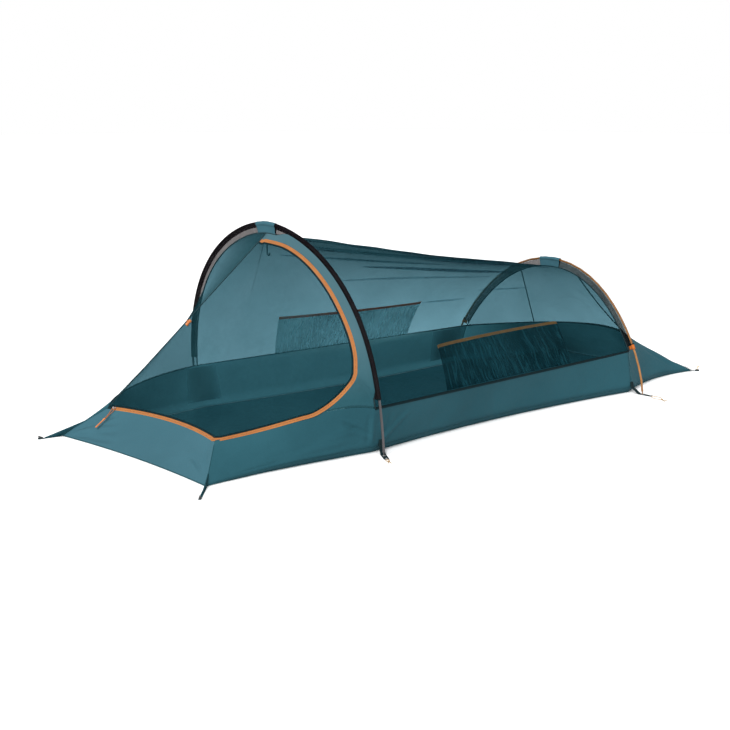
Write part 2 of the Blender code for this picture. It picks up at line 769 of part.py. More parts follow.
def zip_centre():
    """Return the zip's path in four runs and the shares of its run along the front rim.

    The runs go over the top, down by the hoop, round the foot and along the near rim, and
    along the front rim. The second and third have as many steps as half the hoop's seam.
    """
    top = []
    for u in np.linspace(ZIP_START, 1.0, ZIP_TOP_STEPS + 1):
        hoop_end, rim_end = front_fan(u)
        top.append(blend(hoop_end, rim_end, ZIP_TOP_DROP / np.linalg.norm(rim_end - hoop_end)))
    controls = [top[-1]] + [front_surface(u, share) for u, share in ZIP_CONTROLS]
    smooth = catmull_rom(controls, 6)
    turn = 6 * ZIP_TURN
    down = along(smooth[:turn + 1], list(np.linspace(0.0, 0.985, ARC_HALF_STEPS)) + [1.0])
    round_foot = along(smooth[turn:], [0.0] + list(np.linspace(0.1, 1.0, ZIP_FOOT_STEPS)))
    last = ZIP_CONTROLS[-1][0]
    near_rim = [side_rim(1.0 - u, near=True) for u in
                np.linspace(last, 1.0 - ZIP_CORNER_CUT, ARC_HALF_STEPS - ZIP_FOOT_STEPS + 1)[1:]]
    front_shares = np.linspace(ZIP_CORNER_CUT, 1.0 - ZIP_FAR_END, FRONT_STEPS + 1)
    front = [front_rim(share) for share in front_shares]
    return top[:-1], down[:-1], round_foot + near_rim, front, front_shares


def front_rim_lift_direction(share):
    """Return the direction from the front rim up into the door."""
    up_share = unit(FRONT_APEX - front_rim(0.5))
    out = float(up_share @ RIM_ARC_OUT)
    rise = float(up_share @ RIM_ARC_AXIS)
    return front_rim_out(share) * out + RIM_ARC_AXIS * rise


def zip_sides():
    """Return the zip's centre points and the directions across it, into the door."""
    top, down, back, front, front_shares = zip_centre()
    path = top + down + back
    inside = front_surface(1.0, 0.55)
    across = []
    for point, tangent in zip(path, tangents_of(path + front[:1])):
        towards = inside - point
        across.append(unit(towards - tangent * float(towards @ tangent)))
    across += [unit(front_rim_lift_direction(share)) for share in front_shares]
    return path + front, across


def make_zip_tape(look):
    path, across = zip_sides()
    grid = [[point - side * BAND_HALF, point, point + side * BAND_HALF]
            for point, side in zip(path, across)]
    panel("door_zip_tape", grid, look, WEBBING)


def make_near_front(look):
    """Make the solid strip between the zip and the hoop, down to the rim."""
    path, across = zip_sides()
    arc = seam_points(FRONT, FRONT_RIM_S)[ARC_HALF_STEPS::-1]
    clear = SEAM_BEAD_RADIUS + SEAM_GAP
    directions = tangents_of(arc)
    grid = []
    for index in range(ZIP_TOP_STEPS + ARC_HALF_STEPS + 1 + STRIP_FOOT_ROWS):
        zip_edge = path[index] - across[index] * (BAND_HALF + ZIP_GAP)
        down = index - ZIP_TOP_STEPS
        if down <= ARC_HALF_STEPS:
            seam = arc[max(down, 0)]
            start = blend(seam, zip_edge, clear_share(seam, zip_edge, directions[max(down, 0)], clear))
        else:
            share = 1.0 - (down - ARC_HALF_STEPS) / SIDE_STEPS
            start = side_rim(share, near=True) + vector(0.0, 0.0, BAND_HALF + SEAM_GAP)
        if 2 <= index:
            grid.append([blend(start, zip_edge, share) for share in np.linspace(0.0, 1.0, 4)])
    panel("front_near_panel", grid, look)


HINGE_TOP = FRONT_APEX
HINGE_FOOT = FAR_RIM_CORNER


def hinge_point(distance):
    """Return a point on the door's hinge line, at a distance down from the peak."""
    return HINGE_TOP + unit(HINGE_FOOT - HINGE_TOP) * distance


def make_hinge_seam(look):
    """Make the round seam that the door turns on, from its zip down to the far rim corner."""
    start = hinge_point(ZIP_TOP_DROP - BAND_HALF)
    end = HINGE_FOOT + unit(HINGE_TOP - HINGE_FOOT) * (BAND_HALF + 2 * SEAM_GAP)
    direction = unit(end - start)
    side = unit(np.cross(direction, vector(0.0, 0.0, 1.0)))
    other = np.cross(direction, side)
    sections = [[point + HINGE_BEAD_RADIUS * (side * math.cos(a) + other * math.sin(a))
                 for a in np.arange(6) * math.pi / 3] for point in (start, blend(start, end, 0.5), end)]
    loft("door_hinge_seam", sections, look)


def make_door(look):
    """Make the mesh door inside the zip, hinged on the seam from the peak to the far corner."""
    path, across = zip_sides()
    edge = [point + side * (BAND_HALF + ZIP_GAP) for point, side in zip(path, across)]
    turn = ZIP_TOP_STEPS + ARC_HALF_STEPS
    grid = ruled(edge[turn - 1::-1], edge[turn + 1:], 9)
    to_hinge = HINGE_BEAD_RADIUS + SEAM_GAP
    grid.append([point + door_side_of_hinge() * to_hinge for point in hinge_row()])
    panel("door_panel", grid, look, pivot=HINGE_FOOT)


def door_side_of_hinge():
    """Return the direction square to the hinge line, in the door's flat middle."""
    hinge = unit(HINGE_FOOT - HINGE_TOP)
    across = NEAR_RIM_CORNER - HINGE_TOP
    return unit(across - hinge * float(across @ hinge))


def hinge_row():
    """Return nine points along the hinge line from the top of the door to its foot."""
    start = hinge_point(ZIP_TOP_DROP + BAND_HALF + SEAM_GAP)
    end = HINGE_FOOT + unit(HINGE_TOP - HINGE_FOOT) * (BAND_HALF + 3 * ZIP_GAP)
    return [blend(start, end, share) for share in np.linspace(0.0, 1.0, 9)]


def make_rear_mesh(look):
    """Make the three rear mesh panels between the rear hoop's seam and the rear rim."""
    arc = seam_points(REAR, REAR_RIM_S)
    first = REAR_SEAM_ARC_STEP
    count = 2 * ARC_HALF_STEPS
    fold = rear_rim_share(REAR_SEAM_RIM_Y)
    clear = SEAM_BEAD_RADIUS + SEAM_GAP
    inside = vector(REAR_HOOP_X, 0.0, 0.15)
    parts = (("rear_near_mesh", 0, first, 0.0, fold),
             ("rear_end_mesh", first, count - first, fold, 1.0 - fold),
             ("rear_far_mesh", count - first, count, 1.0 - fold, 1.0))
    for name, start, stop, from_share, to_share in parts:
        rim = [rear_rim_polyline(share) for share in np.linspace(from_share, to_share, stop - start + 1)]
        grid = ruled(arc[start:stop + 1], rim, 6, clear, BAND_HALF + SEAM_GAP, REAR_SAG, inside)
        if start == 0:
            grid[0] = short_row(arc[0], grid[1][-1], clear, 6)
        if stop == count:
            grid[-1] = short_row(arc[-1], grid[-2][-1], clear, 6)
        gap_first = 0.0 if start == 0 else SEAM_GAP
        gap_last = 0.0 if stop == count else SEAM_GAP
        panel(name, trim_ends(grid, gap_first, gap_last), look)


def rear_rim_polyline(share):
    """Return the rear rim as the straight runs between its stations."""
    shares = rear_rim_shares()
    points = np.array([rear_rim(station) for station in shares])
    return vector(*(np.interp(share, shares, points[:, axis]) for axis in range(3)))


def make_seam_bead(name, hoop, rim_place, look):
    """Make the cord-like seam where canopy, end panel and pole sleeve are sewn together."""
    sections = []
    for s in seam_places(hoop, rim_place):
        centre, inward = hoop.seam(s), hoop.inward(s)
        ring = [centre + SEAM_BEAD_RADIUS * (inward * math.cos(a) + hoop.normal * math.sin(a))
                for a in np.arange(6) * math.pi / 3]
        sections.append(ring)
    loft(name, sections, look)


def sleeve_section(hoop, s, wall):
    """Return outer and inner loops of a sleeve: a channel round the pole and a fin to the seam."""
    centre, inward = hoop.point(s), hoop.inward(s)
    bore = POLE_RADIUS + SLEEVE_BORE_CLEARANCE
    outer_radius = bore + wall
    fin_tip = hoop.inset(s) - SEAM_BEAD_RADIUS - SEAM_GAP
    angles = np.radians(np.linspace(40.0, 320.0, 8))
    inner_angles = np.concatenate([[math.radians(20.0)], angles, [math.radians(340.0)]])

    def at(along_fin, aside):
        return centre + inward * along_fin + hoop.normal * aside

    outer = [at(fin_tip, 0.5 * wall)]
    outer += [at(outer_radius * math.cos(a), outer_radius * math.sin(a)) for a in angles]
    outer += [at(fin_tip, -0.5 * wall)]
    inner = [at(bore * math.cos(a), bore * math.sin(a)) for a in inner_angles]
    return outer, inner


def make_sleeve(name, hoop, start, end, wall, look):
    sections = [sleeve_section(hoop, s, wall) for s in hoop.between(start, end)]
    hollow_loft(name, [outer for outer, _ in sections], [inner for _, inner in sections], look)


def make_sleeves(prefix, hoop, patch_half, sleeve_look, patch_look):
    """Make the two sleeves of a hoop and the patch between them at the crown."""
    end = hoop.pole_at_height(SLEEVE_END_HEIGHT)
    crown = 0.5 * hoop.total
    make_sleeve(prefix + "_sleeve_near", hoop, end, crown - patch_half - SEAT_GAP, SLEEVE_WALL, sleeve_look)
    make_sleeve(prefix + "_sleeve_far", hoop, crown + patch_half + SEAT_GAP, hoop.total - end,
                SLEEVE_WALL, sleeve_look)
    make_sleeve(prefix + "_top_patch", hoop, crown - patch_half, crown + patch_half, PATCH_WALL, patch_look)


def turned_on_hoop(name, hoop, profile, sides, look):
    """Turn a profile of (place along the hoop, radius) round the bent pole's centre line.

    The profile is a closed loop, or starts and ends at radius 0.
    """
    stops = []
    for (s0, r0), (s1, r1) in zip(profile[:-1], profile[1:]):
        places = hoop.between(s0, s1)
        for s in places[:-1]:
            share = 0.0 if s1 == s0 else (s - s0) / (s1 - s0)
            stops.append((s, blend(r0, r1, share)))
    closed = profile[0] == profile[-1]
    if not closed:
        stops.append(profile[-1])
    sections = []
    for s, radius in stops:
        centre, inward = hoop.point(s), hoop.inward(s)
        radius = max(radius, 0.0004)
        ring = [centre + radius * (inward * math.cos(a) + hoop.normal * math.sin(a))
                for a in np.arange(sides) * 2.0 * math.pi / sides]
        sections.append(ring)
    points, faces = skin(sections, closed=closed)
    mesh_object(name, points, faces, look)


def make_pole(prefix, hoop, look):
    """Make a pole's sections: hollow tubes whose ferrules slide into the next one's bore."""
    bore = POLE_RADIUS - POLE_WALL
    ferrule = bore - FERRULE_CLEARANCE
    ferrule_bore = ferrule - FERRULE_WALL
    length = hoop.total / hoop.sections
    for number in range(hoop.sections):
        start, end = number * length, (number + 1) * length
        first, last = number == 0, number == hoop.sections - 1
        profile = []
        if first:
            profile += [(SEAT_GAP, 0.0), (SEAT_GAP, TIP_RADIUS), (TIP_LENGTH, TIP_RADIUS),
                        (TIP_LENGTH + 0.002, POLE_RADIUS)]
        else:
            profile += [(start + JOINT_GAP, bore), (start + JOINT_GAP, POLE_RADIUS)]
        if last:
            profile += [(end - TIP_LENGTH - 0.002, POLE_RADIUS), (end - TIP_LENGTH, TIP_RADIUS),
                        (end - SEAT_GAP, TIP_RADIUS), (end - SEAT_GAP, 0.0)]
        else:
            profile += [(end, POLE_RADIUS), (end, ferrule), (end + FERRULE_REACH, ferrule),
                        (end + FERRULE_REACH, ferrule_bore), (end - FERRULE_REACH, ferrule_bore),
                        (end - FERRULE_REACH, bore)]
        if first:
            profile += [(TIP_PLUG, bore), (TIP_PLUG, 0.0)]
        elif last:
            plug = end - TIP_PLUG
            profile = [(plug, 0.0), (plug, bore)] + profile
        else:
            profile.append(profile[0])
        turned_on_hoop("%s_pole_%d" % (prefix, number + 1), hoop, profile, POLE_SIDES, look)


def make_shock_cord(name, hoop, look):
    start = TIP_PLUG + SEAT_GAP
    end = hoop.total - start
    profile = [(start, 0.0), (start, SHOCK_CORD_RADIUS), (end, SHOCK_CORD_RADIUS), (end, 0.0)]
    turned_on_hoop(name, hoop, profile, 5, look)


def tube(name, path, radius, sides, look, closed=False):
    """Make a round bar along a path that bends in one plane or gently in two."""
    if closed:
        count = len(path)
        tangents = [unit(path[(i + 1) % count] - path[i - 1]) for i in range(count)]
    else:
        tangents = tangents_of(path)
    aside = unit(np.cross(tangents[0], vector(0.31, 0.17, 0.93)))
    sections = []
    for point, tangent in zip(path, tangents):
        aside = unit(aside - tangent * float(aside @ tangent))
        other = np.cross(tangent, aside)
        sections.append([point + radius * (aside * math.cos(a) + other * math.sin(a))
                         for a in (np.arange(sides) + 0.5) * 2.0 * math.pi / sides])
    points, faces = skin(sections, closed=closed)
    return mesh_object(name, points, faces, look)


def combine(item, tool, operation):
    """Join a second solid to an object, or cut it away, and keep it only as a guide."""
    tool.name = item.name + "_" + operation.lower() + "_guide"
    tool.hide_render = True
    tool.display_type = 'WIRE'
    step = item.modifiers.new(operation.lower(), 'BOOLEAN')
    step.operation = operation
    step.solver = 'EXACT'
    step.object = tool


def strap(name, path, half_width, across, look):
    """Sweep flat webbing along a path, with its width direction given at each point."""
    normals = [unit(np.cross(side, tangent)) for side, tangent in zip(across, tangents_of(path))]
    return band(name, path, across, normals, half_width, WEBBING, look)


def cut_eyelet(item, centre, radius):
    """Cut a round hole down through a strap."""
    cutter = tube("cutter", [centre - vector(0, 0, 0.01), centre + vector(0, 0, 0.01)], radius, 12,
                  item.active_material)
    combine(item, cutter, 'DIFFERENCE')


def strap_direction(slant, near):
    angle = math.radians(slant)
    return vector(-math.sin(angle), -math.cos(angle) if near else math.cos(angle), 0.0)


def make_foot_strap(name, hoop, floor_half, slant, near, look):
    """Make the strap from the wall, down past the crease, out under the pole's tip."""
    foot = hoop.point(0.0 if near else hoop.total)
    out = strap_direction(slant, near)
    clear = 0.5 * FABRIC + 0.5 * WEBBING + SEAT_GAP
    rim_place = FRONT_RIM_S if hoop is FRONT else REAR_RIM_S
    rim_point = hoop.seam(rim_place)
    rim_y, rim_z = abs(rim_point[1]), rim_point[2]
    rise = (FOOT_STRAP_ROOT_HEIGHT - EDGE_LIFT) / (rim_z - EDGE_LIFT)
    root_y = blend(floor_half, rim_y, rise)
    ground = 0.5 * WEBBING + SEAT_GAP
    foot_y = abs(foot[1])
    outline = [(root_y + clear, FOOT_STRAP_ROOT_HEIGHT), (floor_half + clear + 0.0008, EDGE_LIFT + 0.001),
               (foot_y - 0.016, ground), (foot_y, ground),
               (foot_y + FOOT_STRAP_REACH * abs(out[1]), ground)]
    path = []
    for y, z in outline:
        run = (y - foot_y) / abs(out[1])
        path.append(vector(foot[0] + out[0] * run, out[1] * run + foot[1], z))
    square = unit(np.cross(out, vector(0.0, 0.0, 1.0)))
    along_wall = vector(math.copysign(1.0, square[0]), 0.0, 0.0)
    across = [along_wall, unit(along_wall + 0.4 * square), square, square, square]
    item = strap(name, path, FOOT_STRAP_HALF, across, look)
    cut_eyelet(item, vector(foot[0], foot[1], ground), FOOT_EYELET_RADIUS)


def make_foot_cord(name, hoop, strap_slant, slant, near, loop, width, tails, look):
    """Make the small cord tied through a foot strap's end: an eye, a knot and two tails."""
    foot = hoop.point(0.0 if near else hoop.total)
    out = strap_direction(slant, near)
    aside = unit(np.cross(out, vector(0.0, 0.0, 1.0)))
    height = FOOT_CORD_RADIUS + SEAT_GAP
    start = foot + strap_direction(strap_slant, near) * (FOOT_STRAP_REACH + 2 * SEAT_GAP + FOOT_CORD_RADIUS)
    knot = FOOT_CORD_RADIUS + 0.5 * FOOT_CORD_STRAND_GAP
    shape = [(0.0, 0.0), (0.003, 0.0036), (0.25 * loop, 0.40 * width), (0.5 * loop, 0.5 * width),
             (0.8 * loop, 0.28 * width), (loop - 0.004, knot), (loop + 0.004, knot),
             (loop + 0.4 * tails, knot + 0.08 * tails), (loop + tails, knot + 0.22 * tails)]
    one = [start + out * x + aside * y for x, y in shape]
    other = [start + out * x - aside * y for x, y in shape]
    route = [vector(point[0], point[1], height) for point in one[::-1] + other[1:]]
    smooth = catmull_rom(route, 6)
    length = sum(np.linalg.norm(b - a) for a, b in zip(smooth[:-1], smooth[1:]))
    count = 2 * int(length / (10.0 * FOOT_CORD_RADIUS))
    cord(name, along(smooth, np.linspace(0.0, 1.0, count + 1)), FOOT_CORD_RADIUS, look)


def make_corner_strap(name, corner, ridge, reach, look):
    """Make a peg strap sewn up a wall's corner ridge and drawn out along the ground."""
    out = unit(vector(reach[0], reach[1], 0.0))
    square = unit(np.cross(out, vector(0.0, 0.0, 1.0)))
    clear = 0.5 * FABRIC + 0.5 * WEBBING + SEAT_GAP
    slope = unit(ridge - corner)
    away = unit(out - slope * float(out @ slope))
    ground = 0.5 * WEBBING + SEAT_GAP
    lift = vector(0.0, 0.0, CORNER_LIFT)
    end = vector(corner[0] + reach[0], corner[1] + reach[1], ground)
    low = corner + out * 2.0 * clear + lift
    path = [corner + lift + slope * CORNER_STRAP_ROOT + away * 1.25 * clear, low]
    path += [vector(*blend(low, end, 0.25)[:2], ground), end]
    item = strap(name, path, CORNER_STRAP_HALF, [square] * 4, look)
    hole = end - out * CORNER_EYELET_FROM_END
    cut_eyelet(item, hole, CORNER_EYELET_RADIUS)
    return hole, out


def make_peg(name, hole, out, height, look):
    """Make the part of a hooked peg that shows above the ground, through its strap's eyelet."""
    base = vector(hole[0], hole[1], SEAT_GAP)
    rise = vector(0.0, 0.0, 1.0)
    path = [base, base + rise * (height - PEG_NECK), base + rise * (height - PEG_BEND) + out * PEG_BEND,
            base + rise * height + out * 0.5 * PEG_HOOK, base + rise * (height - PEG_DROOP) + out * PEG_HOOK]
    tube(name, path, PEG_RADIUS, 8, look)


def make_corners(strap_look, front_metal, rear_metal):
    near_rear_top = rear_rim(rear_rim_share(REAR_SEAM_RIM_Y))
    flip = np.array([1.0, -1.0, 1.0])
    corners = (
        ("near_front", front_edge(0.0), NEAR_RIM_CORNER, (-NEAR_FRONT_REACH[0], -NEAR_FRONT_REACH[1])),
        ("far_front", front_edge(1.0), FAR_RIM_CORNER, (-FAR_FRONT_REACH[0], FAR_FRONT_REACH[1])),
        ("near_rear", rear_edge(0.0), near_rear_top, (REAR_REACH[0], -REAR_REACH[1])),
        ("far_rear", rear_edge(1.0), near_rear_top * flip, (REAR_REACH[0], REAR_REACH[1])),
    )
    for name, corner, ridge, reach in corners:
        hole, out = make_corner_strap("corner_strap_" + name, corner, ridge, reach, strap_look)
        front = name.endswith("front")
        height = FRONT_PEG_HEIGHT if front else REAR_PEG_HEIGHT
        make_peg("peg_" + name, hole, out, height, front_metal if front else rear_metal)


def slider_frame():
    """Return the slider's seat on the zip: a point, along the zip, up the door and outwards."""
    point = front_rim(SLIDER_SHARE)
    lift = unit(front_rim_lift_direction(SLIDER_SHARE))
    run = unit(front_rim(SLIDER_SHARE + 0.01) - front_rim(SLIDER_SHARE - 0.01))
    lift = unit(lift - run * float(lift @ run))
    outward = np.cross(lift, run)
    if outward[0] > 0.0:
        outward = -outward
    return point, run, lift, outward


def make_slider(look):
    """Make the zip's slider: a body on the zip with a bail that carries its cord."""
    point, run, lift, outward = slider_frame()
    seat = 0.5 * WEBBING + SLIDER_CLEARANCE
    centre = point + outward * (seat + 0.5 * SLIDER_HEIGHT)
    half_length = 0.5 * SLIDER_LENGTH
    sections = []
    for place_along, narrow in ((-1.0, 0.55), (-0.5, 0.85), (0.2, 1.0), (0.8, 0.9), (1.0, 0.6)):
        middle = centre + run * place_along * half_length
        half_width = 0.5 * SLIDER_WIDTH * narrow
        half_height = 0.5 * SLIDER_HEIGHT
        chamfer = 0.3 * half_height
        sections.append([middle + lift * a + outward * b for a, b in (
            (-half_width, -half_height), (half_width, -half_height),
            (half_width, half_height - chamfer), (half_width - chamfer, half_height),
            (-half_width + chamfer, half_height), (-half_width, half_height - chamfer))])
    body = loft("zip_slider", sections, look)
    top = seat + SLIDER_HEIGHT
    legs = 0.5 * BAIL_OPENING + 0.5 * BAIL_WIRE
    arch = [(-legs, -0.5 * SLIDER_HEIGHT), (-legs, 0.7 * BAIL_OPENING), (-0.6 * legs, BAIL_OPENING + 0.0004),
            (0.6 * legs, BAIL_OPENING + 0.0004), (legs, 0.7 * BAIL_OPENING), (legs, -0.5 * SLIDER_HEIGHT)]
    path = [point + lift * a + outward * (top + b) for a, b in arch]
    normals = [unit(np.cross(run, tangent)) for tangent in tangents_of(path)]
    bail = band("bail", path, [run] * len(path), normals, 0.5 * BAIL_LENGTH, BAIL_WIRE, look)
    combine(body, bail, 'UNION')


def on_front_wall(y, below, height):
    """Return a point over the front wall's outer face, at a distance below the rim."""
    share = 0.5 + 0.5 * y / FRONT_RIM_HALF
    for _ in range(8):
        rim, crease = front_wall_point(share, 0.0), front_wall_point(share, 1.0)
        down = below / np.linalg.norm(crease - rim)
        share += 0.5 * (y - front_wall_point(share, down)[1]) / FRONT_RIM_HALF
    here = front_wall_point(share, down)
    slope = front_wall_point(share, down + 0.01) - here
    run = front_wall_point(share + 0.01, down) - here
    wall_out = unit(np.cross(slope, run))
    if wall_out[0] > 0.0:
        wall_out = -wall_out
    return here + wall_out * height


def make_pull_cord(cord_look, tab_look):
    """Make the cord looped through the slider's bail, its two strands, and the tab they end in."""
    point, run, lift, outward = slider_frame()
    on_wall = 0.5 * FABRIC + PULL_SEAT + PULL_CORD_RADIUS
    in_bail = 0.5 * WEBBING + SLIDER_CLEARANCE + SLIDER_HEIGHT + 0.5 * BAIL_OPENING
    shape = [(0.0, 0.0, 1.0), (0.0, 0.5 * BAIL_LENGTH + 0.0006, 1.0), (0.003, PULL_LOOP_HALF, 0.9),
             (0.010, PULL_LOOP_HALF + 0.0006, 0.45), (0.022, PULL_LOOP_HALF, 0.05),
             (0.036, 0.6 * PULL_LOOP_HALF, 0.0), (PULL_LOOP_LENGTH, PULL_KNOT_HALF, 0.0)]

    def at(below, aside, raised):
        over_wall = on_front_wall(point[1] + aside, below, on_wall + PULL_STAND_OFF * below)
        over_slider = point + outward * in_bail - lift * below + run * aside
        return blend(over_wall, over_slider, raised)

    one = [at(below, aside, raised) for below, aside, raised in shape]
    other = [at(below, -aside, raised) for below, aside, raised in shape]
    smooth = catmull_rom(one[::-1] + other[1:], 6)
    length = sum(np.linalg.norm(b - a) for a, b in zip(smooth[:-1], smooth[1:]))
    count = 2 * int(length / (10.0 * PULL_CORD_RADIUS))
    cord("zip_pull_cord", along(smooth, np.linspace(0.0, 1.0, count + 1)), PULL_CORD_RADIUS, cord_look)
    tab_start = PULL_LOOP_LENGTH + 3 * SEAT_GAP
    tab_lift = 0.5 * FABRIC + PULL_SEAT + PULL_TAB_THICKNESS
    tab_end = tab_start + PULL_TAB_LENGTH
    head = on_front_wall(point[1], tab_start, tab_lift + PULL_STAND_OFF * tab_start)
    tail = on_front_wall(point[1], tab_end, tab_lift + PULL_STAND_OFF * tab_end)
    normal = unit(np.cross(tail - head, vector(0.0, 1.0, 0.0)))
    aside = unit(np.cross(normal, tail - head))
    sections = []
    for share, wide, thick in ((0.0, 0.85, 1.6), (0.12, 1.0, 1.8), (0.24, 0.7, 1.0),
                               (0.9, 1.0, 1.0), (1.0, 0.7, 0.8)):
        middle = blend(head, tail, share)
        a = aside * PULL_TAB_HALF * wide
        n = normal * 0.5 * PULL_TAB_THICKNESS * thick
        sections.append([middle - a - n, middle + a - n, middle + a + n, middle - a + n])
    loft("zip_pull_tab", sections, tab_look)


def make_ceiling_hook(tab_look, hook_look):
    """Make the hook under the peak: a webbing loop, and a frame with a hook turning in it."""
    x, y = FRONT_APEX[0], 0.0
    top = FRONT_APEX[2] - SEAM_BEAD_RADIUS - 2.5 * SEAT_GAP
    eye = HOOK_WIRE_RADIUS + 0.0004
    thickness = HOOK_TAB_THICKNESS
    centre_z = top - HOOK_TAB_DROP + eye + thickness
    across = vector(0.0, 1.0, 0.0)
    outline, inline = [], []
    for angle in np.radians([60, 20, -30, -90, -150, -200, -240]):
        outline.append((math.cos(angle) * (eye + thickness), math.sin(angle) * (eye + thickness)))
        inline.append((math.cos(angle) * eye, math.sin(angle) * eye))
    neck = 0.5 * thickness + 0.0002
    rise = top - centre_z
    shoulder = 2.0 * eye + 0.0006
    outline = [(neck, rise), (neck, shoulder)] + outline + [(-neck, shoulder), (-neck, rise)]
    tab = loft("hook_tab", [[vector(x + a, y + side * HOOK_TAB_HALF, centre_z + b) for a, b in outline]
                            for side in (-1.0, 1.0)], tab_look)
    bore = [vector(x, y - 2 * HOOK_TAB_HALF, centre_z), vector(x, y + 2 * HOOK_TAB_HALF, centre_z)]
    combine(tab, tube("cutter", bore, eye, 12, tab_look), 'DIFFERENCE')
    half, low = HOOK_FRAME_HALF, centre_z - HOOK_FRAME_HEIGHT
    turn = HOOK_FRAME_TURN
    ring = [(-half + turn, centre_z), (-0.3 * half, centre_z), (0.3 * half, centre_z),
            (half - turn, centre_z), (half, centre_z - turn), (half, low + turn), (half - turn, low),
            (-half + turn, low), (-half, low + turn), (-half, centre_z - turn)]
    wire = [vector(x, y + a, z) for a, z in ring]
    frame = tube("ceiling_hook", wire, HOOK_WIRE_RADIUS, 8, hook_look, closed=True)
    curl_z = low - HOOK_SHANK
    shank = [vector(x, y, low), vector(x, y, low - 0.6 * HOOK_SHANK)]
    for angle in np.radians([180, 215, 250, 285, 320, 355, 380]):
        shank.append(vector(x, y - HOOK_CURL_RADIUS * (1.0 + math.cos(angle)),
                            curl_z + HOOK_CURL_RADIUS * math.sin(angle)))
    combine(frame, tube("shank", shank, HOOK_WIRE_RADIUS, 8, hook_look), 'UNION')


def toggle_frame():
    """Return the toggle's anchor on the hinge seam and its directions: into the door, out."""
    length = np.linalg.norm(HINGE_FOOT - HINGE_TOP)
    anchor = hinge_point(TOGGLE_SHARE * length)
    hinge = unit(HINGE_FOOT - HINGE_TOP)
    beside = front_rim(0.5) - HINGE_TOP
    below = unit(beside - hinge * float(beside @ hinge))
    outward = np.cross(hinge, below)
    if outward[2] < 0.0:
        outward = -outward
    return anchor, hinge, below, outward


def make_toggle(loop_look, toggle_look):
    """Make the tie-back toggle: a grooved barrel on an elastic loop from the hinge seam."""
    anchor, hinge, below, outward = toggle_frame()
    start = anchor + unit(below + outward) * (HINGE_BEAD_RADIUS + 3 * SEAT_GAP)
    end = anchor + below * TOGGLE_LOOP_LENGTH + outward * (TOGGLE_RADIUS + TOGGLE_LIFT)
    middle = blend(start, end, 0.5) + outward * TOGGLE_LOOP_BOW
    path = [start, middle, end]
    normals = [unit(np.cross(hinge, tangent)) for tangent in tangents_of(path)]
    direction = tangents_of(path)[-1]
    centre = end + direction * 0.5 * TOGGLE_GROOVE
    half = 0.5 * TOGGLE_LENGTH
    sections = []
    waist = TOGGLE_GROOVE / TOGGLE_RADIUS
    for place_along, radius in ((-1.0, 0.6), (-0.86, 1.0), (-0.28, 1.0), (-0.22, waist), (0.22, waist),
                                (0.28, 1.0), (0.86, 1.0), (1.0, 0.6)):
        middle = centre + hinge * place_along * half
        other = np.cross(hinge, direction)
        sections.append([middle + TOGGLE_RADIUS * radius * (direction * math.cos(a) + other * math.sin(a))
                         for a in np.arange(10) * math.pi / 5])
    toggle = loft("door_toggle", sections, toggle_look)
    loop = band("loop", path, [hinge] * 3, normals, TOGGLE_LOOP_HALF, 0.0012, loop_look)
    combine(toggle, loop, 'UNION')


def canopy_point(grid, share, rise, near):
    """Return a point of the canopy: share along it from the front, rise 0 rim to 1 ridge."""
    row = rise * ARC_HALF_STEPS if near else (2.0 - rise) * ARC_HALF_STEPS
    column = share * CANOPY_STEPS
    i, j = min(int(row), 2 * ARC_HALF_STEPS - 1), min(int(column), CANOPY_STEPS - 1)
    a, b = row - i, column - j
    corner, opposite = grid[i][j], grid[i + 1][j + 1]
    if b >= a:
        beside = grid[i][j + 1]
        return corner + (beside - corner) * b + (opposite - beside) * a
    beside = grid[i + 1][j]
    return corner + (beside - corner) * a + (opposite - beside) * b


def canopy_rise(grid, share, height, near):
    """Return the rise at which the canopy reaches a height."""
    low, high = 0.0, 1.0
    for _ in range(30):
        trial = 0.5 * (low + high)
        if canopy_point(grid, share, trial, near)[2] < height:
            low = trial
        else:
            high = trial
    return low


def pocket_grid(near):
    """Return a pocket's grid, from its sewn foot up to its free edge, bellied into the tent."""
    span = REAR.seam(REAR_RIM_S)[0] - FRONT.seam(FRONT_RIM_S)[0]
    front_x = FRONT.seam(FRONT_RIM_S)[0]
    inward = vector(0.0, 1.0 if near else -1.0, 0.0)
    seat = FABRIC + POCKET_SEAT
    canopy = canopy_grid()
    grid = []
    for across in np.linspace(0.0, 1.0, POCKET_STEPS + 1):
        share = (blend(POCKET_FRONT_X, POCKET_REAR_X, across) - front_x) / span
        top = canopy_rise(canopy, share, POCKET_TOP_HEIGHT, near)
        belly = POCKET_DEPTH * hump(across) ** 0.5
        row = []
        for up in np.linspace(0.0, 1.0, POCKET_ROWS + 1):
            point = canopy_point(canopy, share, blend(0.002, top, up), near)
            row.append(point + inward * (seat + belly * up ** 0.7) + vector(0.0, 0.0, 0.0006))
        grid.append(row)
    return grid


def make_pocket(side, near, mesh_look, trim_look):
    grid = pocket_grid(near)
    panel("pocket_" + side, grid, mesh_look, FABRIC)
    path = [row[-1] + unit(row[-1] - row[-2]) * (POCKET_TRIM_HALF + SEAT_GAP) for row in grid]
    widths = [unit(row[-1] - row[-2]) for row in grid]
    normals = [unit(np.cross(width, tangent)) for width, tangent in zip(widths, tangents_of(path))]
    band("pocket_trim_" + side, path, widths, normals, POCKET_TRIM_HALF, WEBBING, trim_look)


def cord(name, points, radius, look):
    """Make a round cord along points as a curve with filled ends."""
    curve = bpy.data.curves.new(name, 'CURVE')
    curve.dimensions = '3D'
    curve.bevel_depth = radius
    curve.bevel_resolution = 2
    curve.use_fill_caps = True
    line = curve.splines.new('POLY')
    line.points.add(len(points) - 1)
    for spot, point in zip(line.points, points):
        spot.co = (*place(point), 1.0)
    curve.materials.append(look)
    item = bpy.data.objects.new(name, curve)
    bpy.context.scene.collection.objects.link(item)
    item.parent = bpy.data.objects["tent"]
    return item


